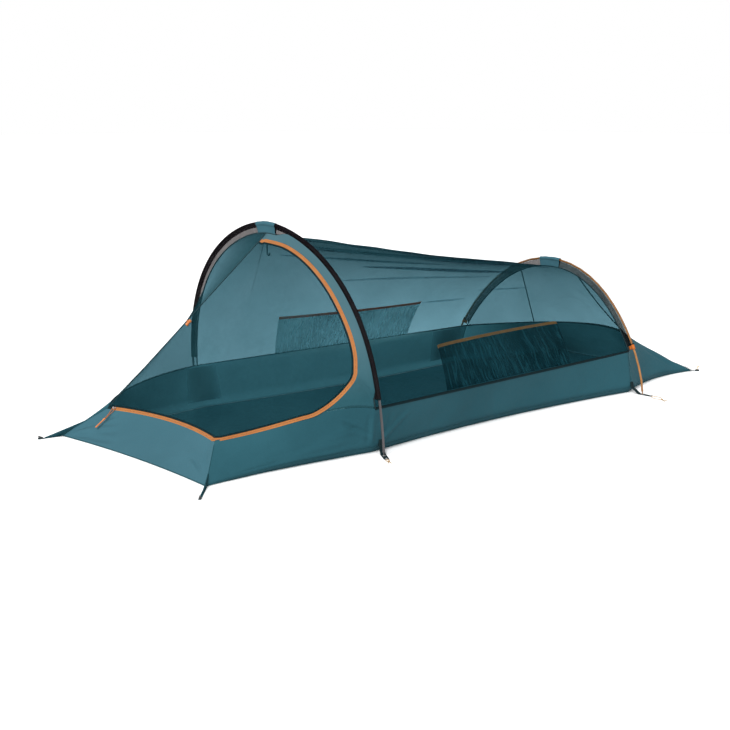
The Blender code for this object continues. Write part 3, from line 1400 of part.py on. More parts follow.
def main():
    clear_scene()
    frame_empty()
    canopy_mesh = material("canopy mesh", (0.10, 0.24, 0.28))
    wall_cloth = material("wall cloth", (0.045, 0.125, 0.155))
    strip_cloth = material("strip cloth", (0.09, 0.21, 0.26))
    floor_cloth = material("floor cloth", (0.012, 0.06, 0.08))
    orange_tape = material("orange tape", (0.79, 0.22, 0.05))
    dark_binding = material("dark binding", (0.005, 0.04, 0.055))
    black_mesh = material("black mesh", (0.02, 0.018, 0.02))
    grey_tube = material("grey tube", (0.14, 0.14, 0.15), 0.35, 0.9)
    gold_tube = material("gold tube", (0.60, 0.24, 0.06), 0.35, 0.9)
    white_cord = material("elastic cord", (0.6, 0.6, 0.6))
    dark_strap = material("dark strap", (0.01, 0.02, 0.022))
    sand_cord = material("sand cord", (0.42, 0.34, 0.22))
    zip_metal = material("zip metal", (0.62, 0.62, 0.6), 0.4, 0.6)
    peg_metal = material("peg metal", (0.5, 0.36, 0.18), 0.4, 0.9)

    make_floor(floor_cloth)
    make_front_wall(strip_cloth)
    make_side_wall("near_wall", wall_cloth, near=True)
    make_side_wall("far_wall", wall_cloth, near=False)
    make_rear_wall(wall_cloth)
    make_rim_binding(dark_binding)
    panel("canopy", canopy_grid(), canopy_mesh)
    make_far_front(canopy_mesh)
    make_near_front(strip_cloth)
    make_zip_tape(orange_tape)
    make_door(canopy_mesh)
    make_rear_mesh(canopy_mesh)
    make_seam_bead("front_hoop_seam", FRONT, FRONT_RIM_S, dark_binding)
    make_seam_bead("rear_hoop_seam", REAR, REAR_RIM_S, dark_binding)
    make_sleeves("front", FRONT, FRONT_PATCH_HALF, black_mesh, strip_cloth)
    make_sleeves("rear", REAR, REAR_PATCH_HALF, black_mesh, strip_cloth)
    make_pole("front", FRONT, grey_tube)
    make_pole("rear", REAR, gold_tube)
    make_shock_cord("front_shock_cord", FRONT, white_cord)
    make_shock_cord("rear_shock_cord", REAR, white_cord)
    for near in (True, False):
        side = "near" if near else "far"
        make_foot_strap("front_foot_strap_" + side, FRONT, FRONT_HOOP_FLOOR_HALF, FRONT_STRAP_SLANT,
                        near, dark_strap)
        make_foot_strap("rear_foot_strap_" + side, REAR, REAR_HOOP_FLOOR_HALF, REAR_STRAP_SLANT,
                        near, dark_strap)
        make_foot_cord("front_foot_cord_" + side, FRONT, FRONT_STRAP_SLANT, FRONT_STRAP_SLANT, near,
                       FRONT_CORD_LOOP, FRONT_CORD_WIDTH, FRONT_CORD_TAILS, sand_cord)
        make_foot_cord("rear_foot_cord_" + side, REAR, REAR_STRAP_SLANT, REAR_CORD_SLANT, near,
                       REAR_CORD_LOOP, REAR_CORD_WIDTH, REAR_CORD_TAILS, sand_cord)
        make_pocket(side, near, black_mesh, orange_tape)
    make_corners(dark_strap, grey_tube, peg_metal)
    make_hinge_seam(dark_binding)
    make_slider(zip_metal)
    make_pull_cord(orange_tape, orange_tape)
    make_ceiling_hook(dark_strap, strip_cloth)
    make_toggle(dark_strap, orange_tape)


main()
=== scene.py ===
import math

import bmesh
import bpy
import numpy as np
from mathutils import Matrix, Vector, noise


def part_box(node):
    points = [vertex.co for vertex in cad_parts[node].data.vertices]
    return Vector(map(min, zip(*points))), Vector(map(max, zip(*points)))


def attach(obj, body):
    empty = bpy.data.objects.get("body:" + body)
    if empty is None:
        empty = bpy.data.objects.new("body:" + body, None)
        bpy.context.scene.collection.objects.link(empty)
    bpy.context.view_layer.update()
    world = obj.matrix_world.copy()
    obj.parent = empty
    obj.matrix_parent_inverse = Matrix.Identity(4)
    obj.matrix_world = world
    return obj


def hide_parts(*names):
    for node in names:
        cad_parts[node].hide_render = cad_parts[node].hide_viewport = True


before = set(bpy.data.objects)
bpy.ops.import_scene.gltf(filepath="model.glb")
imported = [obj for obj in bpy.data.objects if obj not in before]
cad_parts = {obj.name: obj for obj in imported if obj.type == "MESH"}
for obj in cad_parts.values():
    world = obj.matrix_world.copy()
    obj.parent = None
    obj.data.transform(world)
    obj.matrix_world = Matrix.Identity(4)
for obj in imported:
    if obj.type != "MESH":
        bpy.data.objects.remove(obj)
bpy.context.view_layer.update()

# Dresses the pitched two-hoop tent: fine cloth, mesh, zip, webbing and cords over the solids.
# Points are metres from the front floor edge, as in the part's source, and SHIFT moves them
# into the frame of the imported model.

FLOOR_LENGTH, FRONT_HOOP_X, REAR_HOOP_X = 2.750, 0.674, 2.161
FRONT_EDGE_HALF, REAR_EDGE_HALF = 0.450, 0.407
FRONT_EDGE_BOW, REAR_EDGE_BOW = 0.024, 0.030
FRONT_HOOP_FLOOR_HALF, REAR_HOOP_FLOOR_HALF = 0.505, 0.506
SIDE_BOWS = (0.010, 0.045, 0.040)
SLEEVE_INSET_TOP, SLEEVE_INSET_LOW, SLEEVE_END_HEIGHT = 0.034, 0.025, 0.200
FRONT_PATCH_HALF, REAR_PATCH_HALF = 0.052, 0.054
FRONT_RIM_X, FRONT_RIM_HALF, FRONT_RIM_HEIGHT = 0.125, 0.329, 0.107
FRONT_RIM_BOW_X, FRONT_RIM_BOW_Z = 0.045, 0.005
FRONT_HOOP_RIM_HEIGHT, REAR_HOOP_RIM_HEIGHT = 0.165, 0.170
NEAR_RIM_RISE, NEAR_RIM_SKEW = 0.023, 2.2
FAR_RIM_RISE, FAR_RIM_SKEW = 0.037, 0.6
REAR_RIM_REACH, REAR_RIM_RISE = 0.390, 0.016
EDGE_LIFT, EDGE_LIFT_FOLD = 0.022, 0.018
CORNER_LIFT = CORNER_FOLD = 0.004
REAR_WALL_SEAM_Y, REAR_NET_SEAM_Y, REAR_SEAM_SHARE = 0.295, 0.272, 10.0 / 28.0
CANOPY_SAG, FRONT_WALL_SAG, FAR_FRONT_SAG, REAR_SAG = 0.010, 0.0090, 0.028, 0.008
ZIP_START, ZIP_TOP_DROP = 1.86, 0.036
ZIP_CONTROLS = ((0.860, 0.036), (0.705, 0.041), (0.537, 0.065), (0.370, 0.119), (0.270, 0.220),
                (0.225, 0.400), (0.233, 0.600), (0.272, 0.820), (0.330, 0.950), (0.400, 1.000))
ZIP_RIM_END = 0.965
PATH_FINE = 6
STRIP_FINE = 4
POCKET_FRONT_X, POCKET_REAR_X, POCKET_TOP_HEIGHT, POCKET_DEPTH = 1.035, 1.790, 0.322, 0.026
GROUND = 0.0021
NEAR_FRONT_REACH, FAR_FRONT_REACH, REAR_REACH = (0.097, 0.102), (0.090, 0.012), (0.026, 0.022)
FOOT_STRAP_REACH = FOOT_STRAP_ROOT_HEIGHT = 0.046
FRONT_STRAP_SLANT, REAR_CORD_SLANT = 32.0, 22.0
FOOT_CORD_RADIUS, PULL_CORD_RADIUS = 0.0011, 0.0012
SLIDER_SHARE = 0.950
WALL_THICK, THIN_CLOTH, WEB_THICK = 0.0007, 0.0008, 0.0009
TAB_THICK, LOOP_THICK, TAPE_THICK, RIM_TAPE_THICK, FLAG_THICK = 0.0012, 0.0014, 0.0016, 0.0018, 0.0020
DOOR_HEM_HALF, TRIM_HALF, FOOT_STRAP_HALF, TOGGLE_LOOP_HALF, FLAG_HALF = 0.0033, 0.0060, 0.0095, 0.0030, 0.0075
ZIP_GAP, ZIP_IN, STRIP_AT_ZIP, ZIP_OUT, DOOR_AT_ZIP, HEM_AT_ZIP = 0.0007, 0.0060, 0.0066, 0.0070, 0.0078, 0.0096
COIL_RADIUS, HOOP_PIPING, REAR_PIPING, HINGE_PIPING, EYELET_WIRE = 0.0010, 0.0027, 0.0026, 0.0019, 0.0009
SEAM_RADIUS, CORNER_SEAM_RADIUS, STRIP_SEAM_RADIUS = 0.0011, 0.0008, 0.0006
FRONT_SLEEVE_FLANGE, SLEEVE_RADIUS, PATCH_RADIUS = 0.0135, 0.0071, 0.0080
SLEEVE_LIP_ANGLE, PATCH_LIP_ANGLE = 42.0, 38.0
NARROWEST_SHEET = 0.0102
CENTRE_X = 0.5 * (FLOOR_LENGTH + REAR_REACH[0] - NEAR_FRONT_REACH[0])
SHIFT = np.array([-CENTRE_X, 0.0, 0.0])

CAMERA_AT = (-3.6479, -3.7210, 1.1603)
CAMERA_YAW, CAMERA_PITCH = 42.43, -10.937
SENSOR_WIDTH = 36.0
CAMERA_LENS = SENSOR_WIDTH * 1302.235 / 730.0
SUN_ENERGY, SUN_SPREAD, SUN_FROM = 3.6, 30.0, (-0.72, -0.34, 0.62)
STAGE_SIZE, STAGE_DROP = 60.0, 0.0004


def vec(x, y, z):
    return np.array([x, y, z], dtype=float)


UP, AHEAD, ASIDE = vec(0, 0, 1), vec(1, 0, 0), vec(0, 1, 0)


def at_height(point, z):
    return vec(point[0], point[1], z)


def unit(v):
    return v / max(np.linalg.norm(v), 1e-12)


def square_to(v, run):
    """Return the direction of v that is square to run."""
    return unit(v - run * float(v @ run))


def facing(v, way):
    return v if float(v @ way) > 0.0 else -v


def blend(a, b, t):
    return a + (b - a) * t


def spread(count, start=0.0, end=1.0):
    return np.linspace(start, end, count)


def hump(share, skew=1.0):
    eased = min(max(share, 0.0), 1.0) ** skew
    return 4.0 * eased * (1.0 - eased)


def smooth(a, b, x):
    t = np.clip((x - a) / (b - a), 0.0, 1.0)
    return t * t * (3.0 - 2.0 * t)


def catmull(points, steps):
    points = [np.asarray(p, float) for p in points]
    ends = [2 * points[0] - points[1]] + points + [2 * points[-1] - points[-2]]
    run = []
    for k in range(1, len(ends) - 2):
        a, b, c, d = ends[k - 1:k + 3]
        for t in (step / steps for step in range(steps)):
            run.append(0.5 * (2 * b + (c - a) * t + (2 * a - 5 * b + 4 * c - d) * t ** 2
                              + (3 * b - a - 3 * c + d) * t ** 3))
    return run + [points[-1]]


def lengths_of(points):
    return np.concatenate([[0.0], np.cumsum(np.linalg.norm(np.diff(np.array(points), axis=0), axis=1))])


def along(points, shares):
    array, lengths = np.array(points), lengths_of(points)
    return [np.array([np.interp(t * lengths[-1], lengths, array[:, k]) for k in range(3)]) for t in shares]


def tangents_of(path):
    runs = [unit(b - a) for a, b in zip(path[:-1], path[1:])]
    return [unit(a + b) for a, b in zip(runs[:1] + runs, runs + runs[-1:])]


def along_pairs(path, across, steps):
    """Return a path cut finer between its corners, with a direction for each point."""
    spots = [(k, t) for k in range(len(path) - 1) for t in spread(steps + 1)[:-1]]
    return ([blend(path[k], path[k + 1], t) for k, t in spots] + [path[-1]],
            [unit(blend(across[k], across[k + 1], t)) for k, t in spots] + [across[-1]])


class Hoop:
    """The bent pole's centre line, by arc length, with the seam that runs inside it."""

    def __init__(self, foot_x, half, height, side_power, crown_power, lean, rim_height):
        angles = spread(6001, 0.0, math.pi)
        cosines, sines = np.cos(angles), np.sin(angles)
        y = -half * np.sign(cosines) * np.abs(cosines) ** (2.0 / side_power)
        z = height * np.abs(sines) ** (2.0 / crown_power)
        self.table = np.stack([foot_x + lean * z, y, z], axis=1)
        self.lengths = lengths_of(self.table)
        self.total, self.height = self.lengths[-1], height
        self.crown = 0.5 * self.total
        self.normal = unit(vec(1.0, 0.0, -lean))
        self.rim = self.place_at(rim_height, self.seam)
        self.near_rim, self.far_rim = self.seam(self.rim), self.seam(self.total - self.rim)

    def point(self, s):
        return np.array([np.interp(s, self.lengths, self.table[:, k]) for k in range(3)])

    def inward(self, s):
        ahead, behind = self.point(min(s + 0.012, self.total)), self.point(max(s - 0.012, 0.0))
        return np.cross(unit(ahead - behind), self.normal)

    def inset(self, s):
        return blend(SLEEVE_INSET_LOW, SLEEVE_INSET_TOP, self.point(s)[2] / self.height)

    def seam(self, s):
        return self.point(s) + self.inward(s) * self.inset(s)

    def arch(self, t):
        """Return the seam's point t of the way from the near rim to the far one."""
        return self.seam(blend(self.rim, self.total - self.rim, t))

    def foot(self, near):
        return self.point(0.0 if near else self.total)

    def place_at(self, height, of):
        places = spread(300, 0.0, self.crown)
        return float(np.interp(height, [of(s)[2] for s in places], places))


FRONT = Hoop(FRONT_HOOP_X, 0.556, 0.770, 1.78, 2.82, -0.084, FRONT_HOOP_RIM_HEIGHT)
REAR = Hoop(REAR_HOOP_X, 0.560, 0.525, 2.07, 1.39, 0.100, REAR_HOOP_RIM_HEIGHT)
APEX = FRONT.seam(FRONT.crown)
NEAR_CORNER = vec(FRONT_RIM_X, -FRONT_RIM_HALF, FRONT_RIM_HEIGHT)
FAR_CORNER = vec(FRONT_RIM_X, FRONT_RIM_HALF, FRONT_RIM_HEIGHT)
HINGE = unit(FAR_CORNER - APEX)
SAGITTA = math.hypot(FRONT_RIM_BOW_X, FRONT_RIM_BOW_Z)
ARC_RADIUS = (FRONT_RIM_HALF ** 2 + SAGITTA ** 2) / (2.0 * SAGITTA)
ARC_OUT = vec(FRONT_RIM_BOW_X, 0.0, FRONT_RIM_BOW_Z) / SAGITTA
ARC_CENTRE = vec(FRONT_RIM_X, 0.0, FRONT_RIM_HEIGHT) - ARC_OUT * (ARC_RADIUS - SAGITTA)
ARC_AXIS = np.cross(ARC_OUT, ASIDE)
ARC_ANGLE = math.asin(FRONT_RIM_HALF / ARC_RADIUS)


def front_rim_out(share):
    angle = ARC_ANGLE * (2.0 * share - 1.0)
    return ARC_OUT * math.cos(angle) + ASIDE * math.sin(angle)


def front_rim(share):
    return ARC_CENTRE + front_rim_out(share) * ARC_RADIUS


def side_rim(share, near):
    if near:
        return blend(NEAR_CORNER, FRONT.near_rim, share) + UP * NEAR_RIM_RISE * hump(share, NEAR_RIM_SKEW)
    return blend(FAR_CORNER, FRONT.far_rim, share) + UP * FAR_RIM_RISE * hump(share, FAR_RIM_SKEW)


def rear_rim(share):
    at, across = REAR.near_rim, 1.0 - 2.0 * share
    reach = 1.0 - across ** 2
    return vec(at[0] + REAR_RIM_REACH * reach, at[1] * across, at[2] + REAR_RIM_RISE * reach)


def rear_fold(seam_y):
    return 0.5 * (1.0 - seam_y / abs(REAR.near_rim[1]))


REAR_WALL_FOLD, REAR_NET_FOLD = rear_fold(REAR_WALL_SEAM_Y), rear_fold(REAR_NET_SEAM_Y)


def side_rim_point(u, near):
    if u <= 1.0:
        return side_rim(u, near)
    ends = (FRONT.near_rim, REAR.near_rim) if near else (FRONT.far_rim, REAR.far_rim)
    return blend(*ends, u - 1.0)


def front_fan(u):
    """Return the two ends of a line of the front: on the hoop or the peak, and on the rim."""
    if u <= 1.0:
        return FRONT.seam(blend(FRONT.rim, FRONT.crown, u)), side_rim(1.0 - u, True)
    return APEX, front_rim(u - 1.0)


def floor_side(u, near):
    stops = ((0.0, FRONT_EDGE_HALF), (FRONT_HOOP_X, FRONT_HOOP_FLOOR_HALF),
             (REAR_HOOP_X, REAR_HOOP_FLOOR_HALF), (FLOOR_LENGTH, REAR_EDGE_HALF))
    span = min(int(u), 2)
    t = u - span
    x = blend(stops[span][0], stops[span + 1][0], t)
    half = blend(stops[span][1], stops[span + 1][1], t) - SIDE_BOWS[span] * hump(t)
    return vec(x, -half if near else half, 0.0)


def edge_lift(u):
    return math.sin(0.5 * math.pi * max(min(u / 0.5, (3.0 - u) / 0.5, 1.0), 0.0))


def floor_fold(lift):
    return CORNER_FOLD + (EDGE_LIFT_FOLD - CORNER_FOLD) * lift


def wall_crease(edge, lift):
    return edge + UP * (CORNER_LIFT + (EDGE_LIFT - CORNER_LIFT) * lift)


def wall_ground(edge, lift, inward):
    return edge + inward * floor_fold(lift) + UP * GROUND


def front_edge(share):
    return vec(FRONT_EDGE_BOW * hump(share), FRONT_EDGE_HALF * (2.0 * share - 1.0), 0.0)


def rear_edge(share):
    return vec(FLOOR_LENGTH - REAR_EDGE_BOW * hump(share), REAR_EDGE_HALF * (2.0 * share - 1.0), 0.0)


# Materials

class Nodes:
    """A short way to wire a material's nodes."""

    def __init__(self, name):
        self.material = bpy.data.materials.new(name)
        self.material.use_nodes = True
        self.tree = self.material.node_tree
        self.shader = self.tree.nodes["Principled BSDF"]
        self.output = self.tree.nodes["Material Output"]
        self.made = {}

    def add(self, kind, settings=(), **inputs):
        node = self.tree.nodes.new(kind)
        for key, value in settings:
            setattr(node, key, value)
        for key, value in inputs.items():
            self.put(node, key, value)
        return node

    def put(self, node, key, value):
        key = int(key[1:]) if key[0] == "i" and key[1:].isdigit() else key.replace("_", " ")
        socket = node.inputs[key]
        if isinstance(value, bpy.types.NodeSocket):
            self.tree.links.new(value, socket)
        else:
            socket.default_value = value

    def math(self, operation, a, b=0.0, c=0.0, clamp=False):
        settings = (("operation", operation), ("use_clamp", clamp))
        return self.add("ShaderNodeMath", settings, i0=a, i1=b, i2=c).outputs[0]

    def times(self, a, b):
        return self.math("MULTIPLY", a, b)

    def plus(self, a, b, clamp=False):
        return self.math("ADD", a, b, clamp=clamp)

    def off(self, a, b):
        return self.math("ABSOLUTE", self.math("SUBTRACT", a, b))

    def wave(self, value, pitch):
        return self.math("SINE", self.times(value, 2.0 * math.pi / pitch))

    def coordinates(self, kind):
        if kind not in self.made:
            if kind == "UV":
                self.made[kind] = self.add("ShaderNodeUVMap", (("uv_map", "UVMap"),)).outputs[0]
            else:
                self.made[kind] = self.add("ShaderNodeTexCoord").outputs[kind]
        return self.made[kind]

    def axis(self, name, kind="UV"):
        key = "split " + kind
        if key not in self.made:
            self.made[key] = self.add("ShaderNodeSeparateXYZ", Vector=self.coordinates(kind))
        return self.made[key].outputs[name]

    def stretched(self, kind, scale):
        return self.add("ShaderNodeMapping", Vector=self.coordinates(kind), Scale=scale).outputs[0]

    def noise(self, scale, detail=2.0, vector=None, distortion=0.0):
        vector = vector if vector is not None else self.coordinates("Object")
        return self.add("ShaderNodeTexNoise", Vector=vector, Scale=scale, Detail=detail,
                        Distortion=distortion).outputs["Fac"]

    def mix(self, factor, a, b):
        node = self.add("ShaderNodeMix", (("data_type", "RGBA"),), i0=factor)
        for key, value in (("i6", a), ("i7", b)):
            self.put(node, key, value if isinstance(value, bpy.types.NodeSocket) else (*value, 1.0))
        return node.outputs[2]

    def range(self, value, low, high, to_low=0.0, to_high=1.0):
        return self.add("ShaderNodeMapRange", Value=value, From_Min=low, From_Max=high, To_Min=to_low,
                        To_Max=to_high).outputs[0]

    def weave(self, pitch):
        """Return a plain weave's height, 0 to 1, from the cloth's own flat coordinates."""
        crossed = self.times(self.wave(self.axis("X"), pitch), self.wave(self.axis("Y"), pitch))
        return self.math("MULTIPLY_ADD", crossed, 0.5, 0.5)

    def net(self, pitch, thread=0.45):
        """Return 1 on the threads of a square net and 0 in its holes."""
        found = [self.off(self.math("FRACT", self.times(self.axis(name), 1.0 / pitch)), 0.5) for name in "XY"]
        return self.range(self.math("MAXIMUM", *found), 0.5 - thread, 0.5 - 0.5 * thread)

    def stitches(self, offsets, width=0.0005, pitch=0.0034):
        """Return 1 on lines of stitches that run along Y at the given places across the tape."""
        dash = self.math("FRACT", self.times(self.axis("Y"), 1.0 / pitch))
        shown = self.math("LESS_THAN", dash, 0.68)
        lines = [self.times(self.math("LESS_THAN", self.off(self.axis("X"), offset), width), shown)
                 for offset in offsets]
        return lines[0] if len(lines) == 1 else self.math("MAXIMUM", *lines)

    def bump(self, height, distance, strength=1.0, after=None):
        node = self.add("ShaderNodeBump", Height=height, Distance=distance, Strength=strength)
        if after is not None:
            self.put(node, "Normal", after)
        return node.outputs[0]

    def mixed(self, factor, first, second):
        """Show a mix of two shaders."""
        both = self.add("ShaderNodeMixShader", i0=factor, i1=first.outputs[0], i2=second.outputs[0])
        self.put(self.output, "Surface", both.outputs[0])
        return self.material

    def set(self, **values):
        for key, value in values.items():
            self.put(self.shader, key, value)
        return self


def cloth_look(name, dark, light, rough=0.68, crinkle=0.0016, ripstop=True, upper=None):
    """Tightly woven coated cloth, with faint ripstop threads, uneven dye and soft crumples; when a top colour is
    given, painted light makes it lighter towards the top.
    """
    n = Nodes(name)
    fine = n.noise(140.0, 2.0)
    tone = n.plus(n.times(n.noise(3.5, 3.0), 0.75), n.times(fine, 0.25))
    colour = n.mix(n.range(tone, 0.34, 0.66), dark, light)
    # Painted light: from 0.20 to 0.42 m up, the cloth turns to the lighter top colour, standing for the light on its
    # upper part.
    if upper is not None:
        colour = n.mix(n.range(n.axis("Z", "Object"), 0.20, 0.42), colour, upper)
    height = n.times(n.weave(0.0009), 0.12)
    if ripstop:
        grid = n.net(0.0052, 0.07)
        colour = n.mix(n.times(grid, 0.16), colour, tuple(min(c * 1.6, 1.0) for c in light))
        height = n.math("MULTIPLY_ADD", grid, 0.25, height)
    large = n.bump(n.noise(9.0, 3.0, distortion=0.6), crinkle * 6.0, 0.5, after=n.bump(height, 0.00035, 0.5))
    roughness = n.range(fine, 0.3, 0.7, rough - 0.07, rough + 0.09)
    return n.set(Base_Color=colour, Roughness=roughness, Normal=large, Specular_IOR_Level=0.06).material


def net_look(name, threads, tint, cover, pitch=0.0014, crown=None, wobble=0.05, wrinkle_highlights=None):
    """See-through knitted net: tinted holes between threads, a little denser here and there, and, when a highlight
    colour is given, painted highlights in long wavy lines along its wrinkles.
    """
    n = Nodes(name)
    cloudy, fine, net = n.noise(5.0, 3.0, distortion=0.5), n.noise(60.0, 2.0), n.net(pitch)
    colour = n.mix(n.range(cloudy, 0.35, 0.65), *threads)
    # Painted highlights: long wavy lines of a lighter colour, standing for light caught along the net's wrinkles.
    if wrinkle_highlights is not None:
        highlight_lines = n.noise(1.0, 4.0, vector=n.stretched("UV", (7.0, 70.0, 1.0)), distortion=1.6)
        colour = n.mix(n.range(highlight_lines, 0.50, 0.60), colour, wrinkle_highlights)
    crumple = n.bump(n.noise(7.0, 2.0, distortion=0.4), 0.006, 0.5, after=n.bump(net, 0.0002, 0.35))
    n.set(Base_Color=colour, Roughness=n.range(fine, 0.3, 0.7, 0.5, 0.72), Normal=crumple, Specular_IOR_Level=0.0)
    amount = n.range(n.plus(n.times(cloudy, 0.7), n.times(fine, 0.3)), 0.3, 0.7, cover - wobble, cover + wobble)
    amount = n.times(amount, n.range(net, 0.0, 1.0, 0.86, 1.10))
    if crown is not None:
        power, added = crown
        place = n.add("ShaderNodeAttribute", (("attribute_name", "crown"),)).outputs["Fac"]
        amount = n.plus(amount, n.times(n.math("POWER", place, power), added))
    clear = n.add("ShaderNodeBsdfTransparent", Color=(*tint, 1.0))
    return n.mixed(n.plus(amount, 0.0, clamp=True), clear, n.shader)


def tape_look(name, dark, light, thread, stitches, pitch=0.0016, ribs=0.6, glow=0.0):
    """Ribbed woven tape or webbing with sewn lines along it; glow is the light let through from behind."""
    n = Nodes(name)
    worn = n.noise(30.0, 3.0)
    rib = n.wave(n.plus(n.axis("Y"), n.times(n.axis("X"), 0.5)), pitch)
    height = n.math("MULTIPLY_ADD", rib, 0.5 * ribs, n.times(n.weave(pitch * 0.6), 0.5))
    colour = n.mix(n.range(worn, 0.3, 0.7), dark, light)
    colour = n.mix(n.range(rib, -1.0, 1.0, 0.0, 0.22), colour, tuple(0.6 * c for c in dark))
    sewn = n.stitches(stitches)
    n.set(Base_Color=n.mix(sewn, colour, thread), Roughness=n.range(worn, 0.3, 0.7, 0.60, 0.78),
          Normal=n.bump(n.math("MULTIPLY_ADD", sewn, 0.9, height), 0.0004, 0.6), Specular_IOR_Level=0.06)
    if glow:
        n.mixed(glow, n.shader, n.add("ShaderNodeBsdfTranslucent", Color=(*light, 1.0)))
    return n.material


def cord_look(name, dark, light, radius):
    """Braided cord: crossing strands seen as a fine diamond pattern."""
    n = Nodes(name)
    braid = n.add("ShaderNodeTexVoronoi", Vector=n.coordinates("Object"), Scale=1.1 / radius,
                  Randomness=0.35).outputs["Distance"]
    return n.set(Base_Color=n.mix(n.range(braid, 0.1, 0.6), light, dark), Specular_IOR_Level=0.25,
                 Roughness=n.range(n.noise(300.0), 0.3, 0.7, 0.6, 0.8),
                 Normal=n.bump(braid, 0.3 * radius, 0.5)).material


def metal_look(name, dark, light, metallic, rough):
    """Anodised or cast metal with fine lengthways scratches and dulled patches."""
    n = Nodes(name)
    brushed, dull = n.noise(420.0, 3.0, vector=n.stretched("Object", (1.0, 1.0, 0.08))), n.noise(26.0, 3.0)
    tone = n.range(n.plus(n.times(brushed, 0.4), n.times(dull, 0.6)), 0.35, 0.65)
    return n.set(Base_Color=n.mix(tone, dark, light), Metallic=metallic, Normal=n.bump(brushed, 0.00008, 0.5),
                 Roughness=n.range(dull, 0.3, 0.7, rough - 0.08, rough + 0.14)).material


def plastic_look(name, dark, light, rough=0.42):
    n = Nodes(name)
    worn = n.range(n.noise(45.0, 3.0), 0.3, 0.7)
    return n.set(Base_Color=n.mix(worn, dark, light), Normal=n.bump(n.noise(700.0, 2.0), 0.00006, 0.5),
                 Roughness=n.range(worn, 0.0, 1.0, rough - 0.08, rough + 0.12)).material


def coil_look():
    n = Nodes("zip coil")
    teeth = n.wave(n.axis("Y"), 0.0016)
    return n.set(Base_Color=n.mix(n.range(teeth, -0.6, 0.8), (0.22, 0.056, 0.012), (0.46, 0.135, 0.032)),
                 Roughness=n.range(n.noise(200.0), 0.3, 0.7, 0.40, 0.55),
                 Normal=n.bump(teeth, 0.0005, 0.8)).material


def stage_look():
    n = Nodes("stage paint")
    return n.set(Base_Color=n.mix(n.noise(2.0, 2.0), (0.89, 0.89, 0.89), (0.91, 0.91, 0.91)), Roughness=0.9,
                 Specular_IOR_Level=0.1).material


TEAL_THREADS = ((0.005, 0.022, 0.028), (0.008, 0.032, 0.040))
# Pleats use darker threads than the net: painted crease shade along the folds, on top of the doubled net.
CREASE_SHADE_THREADS = ((0.003, 0.013, 0.016), (0.005, 0.018, 0.023))
TEAL_TINT = (0.45, 0.66, 0.73)
TEAL_NET = net_look("teal net", TEAL_THREADS, TEAL_TINT, 0.26, crown=(1.0, 0.58))
DOOR_NET = net_look("door net", TEAL_THREADS, (0.47, 0.68, 0.755), 0.24, crown=(1.5, 0.38))
FAR_NET = net_look("far panel net", TEAL_THREADS, TEAL_TINT, 0.46, crown=(1.2, 0.36))
REAR_NET = net_look("rear net", TEAL_THREADS, TEAL_TINT, 0.47)
PLEAT_NET = net_look("pleated net", CREASE_SHADE_THREADS, (0.50, 0.70, 0.77), 0.42)
FAINT_PLEAT_NET = net_look("faint pleated net", CREASE_SHADE_THREADS, (0.74, 0.86, 0.90), 0.20)
# Painted shade: a faint net, darker in the middle of each band, laid inside the far wall where the hoop legs shade
# it.
PAINTED_SHADE_NET = net_look("painted shade band", ((0.002, 0.014, 0.018), (0.004, 0.020, 0.026)), (0.97, 1.0, 1.0), 0.03,
                     crown=(1.0, 0.42), wobble=0.02)
REAR_FIN_NET = net_look("rear fin net", ((0.006, 0.008, 0.009), (0.012, 0.014, 0.015)), (0.66, 0.76, 0.78), 0.66,
                        pitch=0.0022, wobble=0.08)
BLACK_NET = net_look("black net", ((0.010, 0.009, 0.010), (0.018, 0.017, 0.018)), (0.84, 0.82, 0.82), 0.56,
                     pitch=0.0022)
CHANNEL_NET = net_look("black channel net", ((0.005, 0.004, 0.005), (0.010, 0.009, 0.010)), (0.8, 0.8, 0.8),
                       0.93, pitch=0.0018, wobble=0.02)
OPEN_CHANNEL_NET = net_look("open channel net", ((0.010, 0.008, 0.009), (0.020, 0.016, 0.016)),
                            (0.96, 0.96, 0.96), 0.14, pitch=0.0018, wobble=0.03)
# Pocket net with painted highlights along its wrinkles.
POCKET_NET = net_look("pocket net", ((0.001, 0.010, 0.012), (0.012, 0.036, 0.042)), (0.22, 0.48, 0.51), 0.64,
                      pitch=0.0020, wobble=0.16, wrinkle_highlights=(0.040, 0.115, 0.125))
# Painted light: the far pocket's net is a lighter copy of the pocket net, standing for the light that comes through
# it from behind.
BACKLIT_POCKET_NET = net_look("pocket net painted backlit", ((0.014, 0.050, 0.058), (0.060, 0.130, 0.145)), (0.58, 0.78, 0.80),
                          0.42, pitch=0.0020, wobble=0.16, wrinkle_highlights=(0.50, 0.62, 0.64))
WALL = cloth_look("wall cloth", (0.013, 0.056, 0.072), (0.017, 0.068, 0.087))
# Painted light: the walls' inner face is far paler than the outer cloth, standing for the light that comes through
# the thin walls from outside.
BACKLIT_WALL_LINING = cloth_look("wall lining painted backlit", (0.32, 0.54, 0.56), (0.37, 0.61, 0.63))
WALL_SEAM = cloth_look("wall seam", (0.009, 0.042, 0.052), (0.013, 0.054, 0.066), ripstop=False)
# Strip cloth for the front wall and the top patches: the walls' teal fabric given a lighter colour, partly painted
# light standing for the extra light that falls on the front wall.
STRIP = cloth_look("strip cloth", (0.026, 0.078, 0.100), (0.033, 0.094, 0.120), crinkle=0.0010)
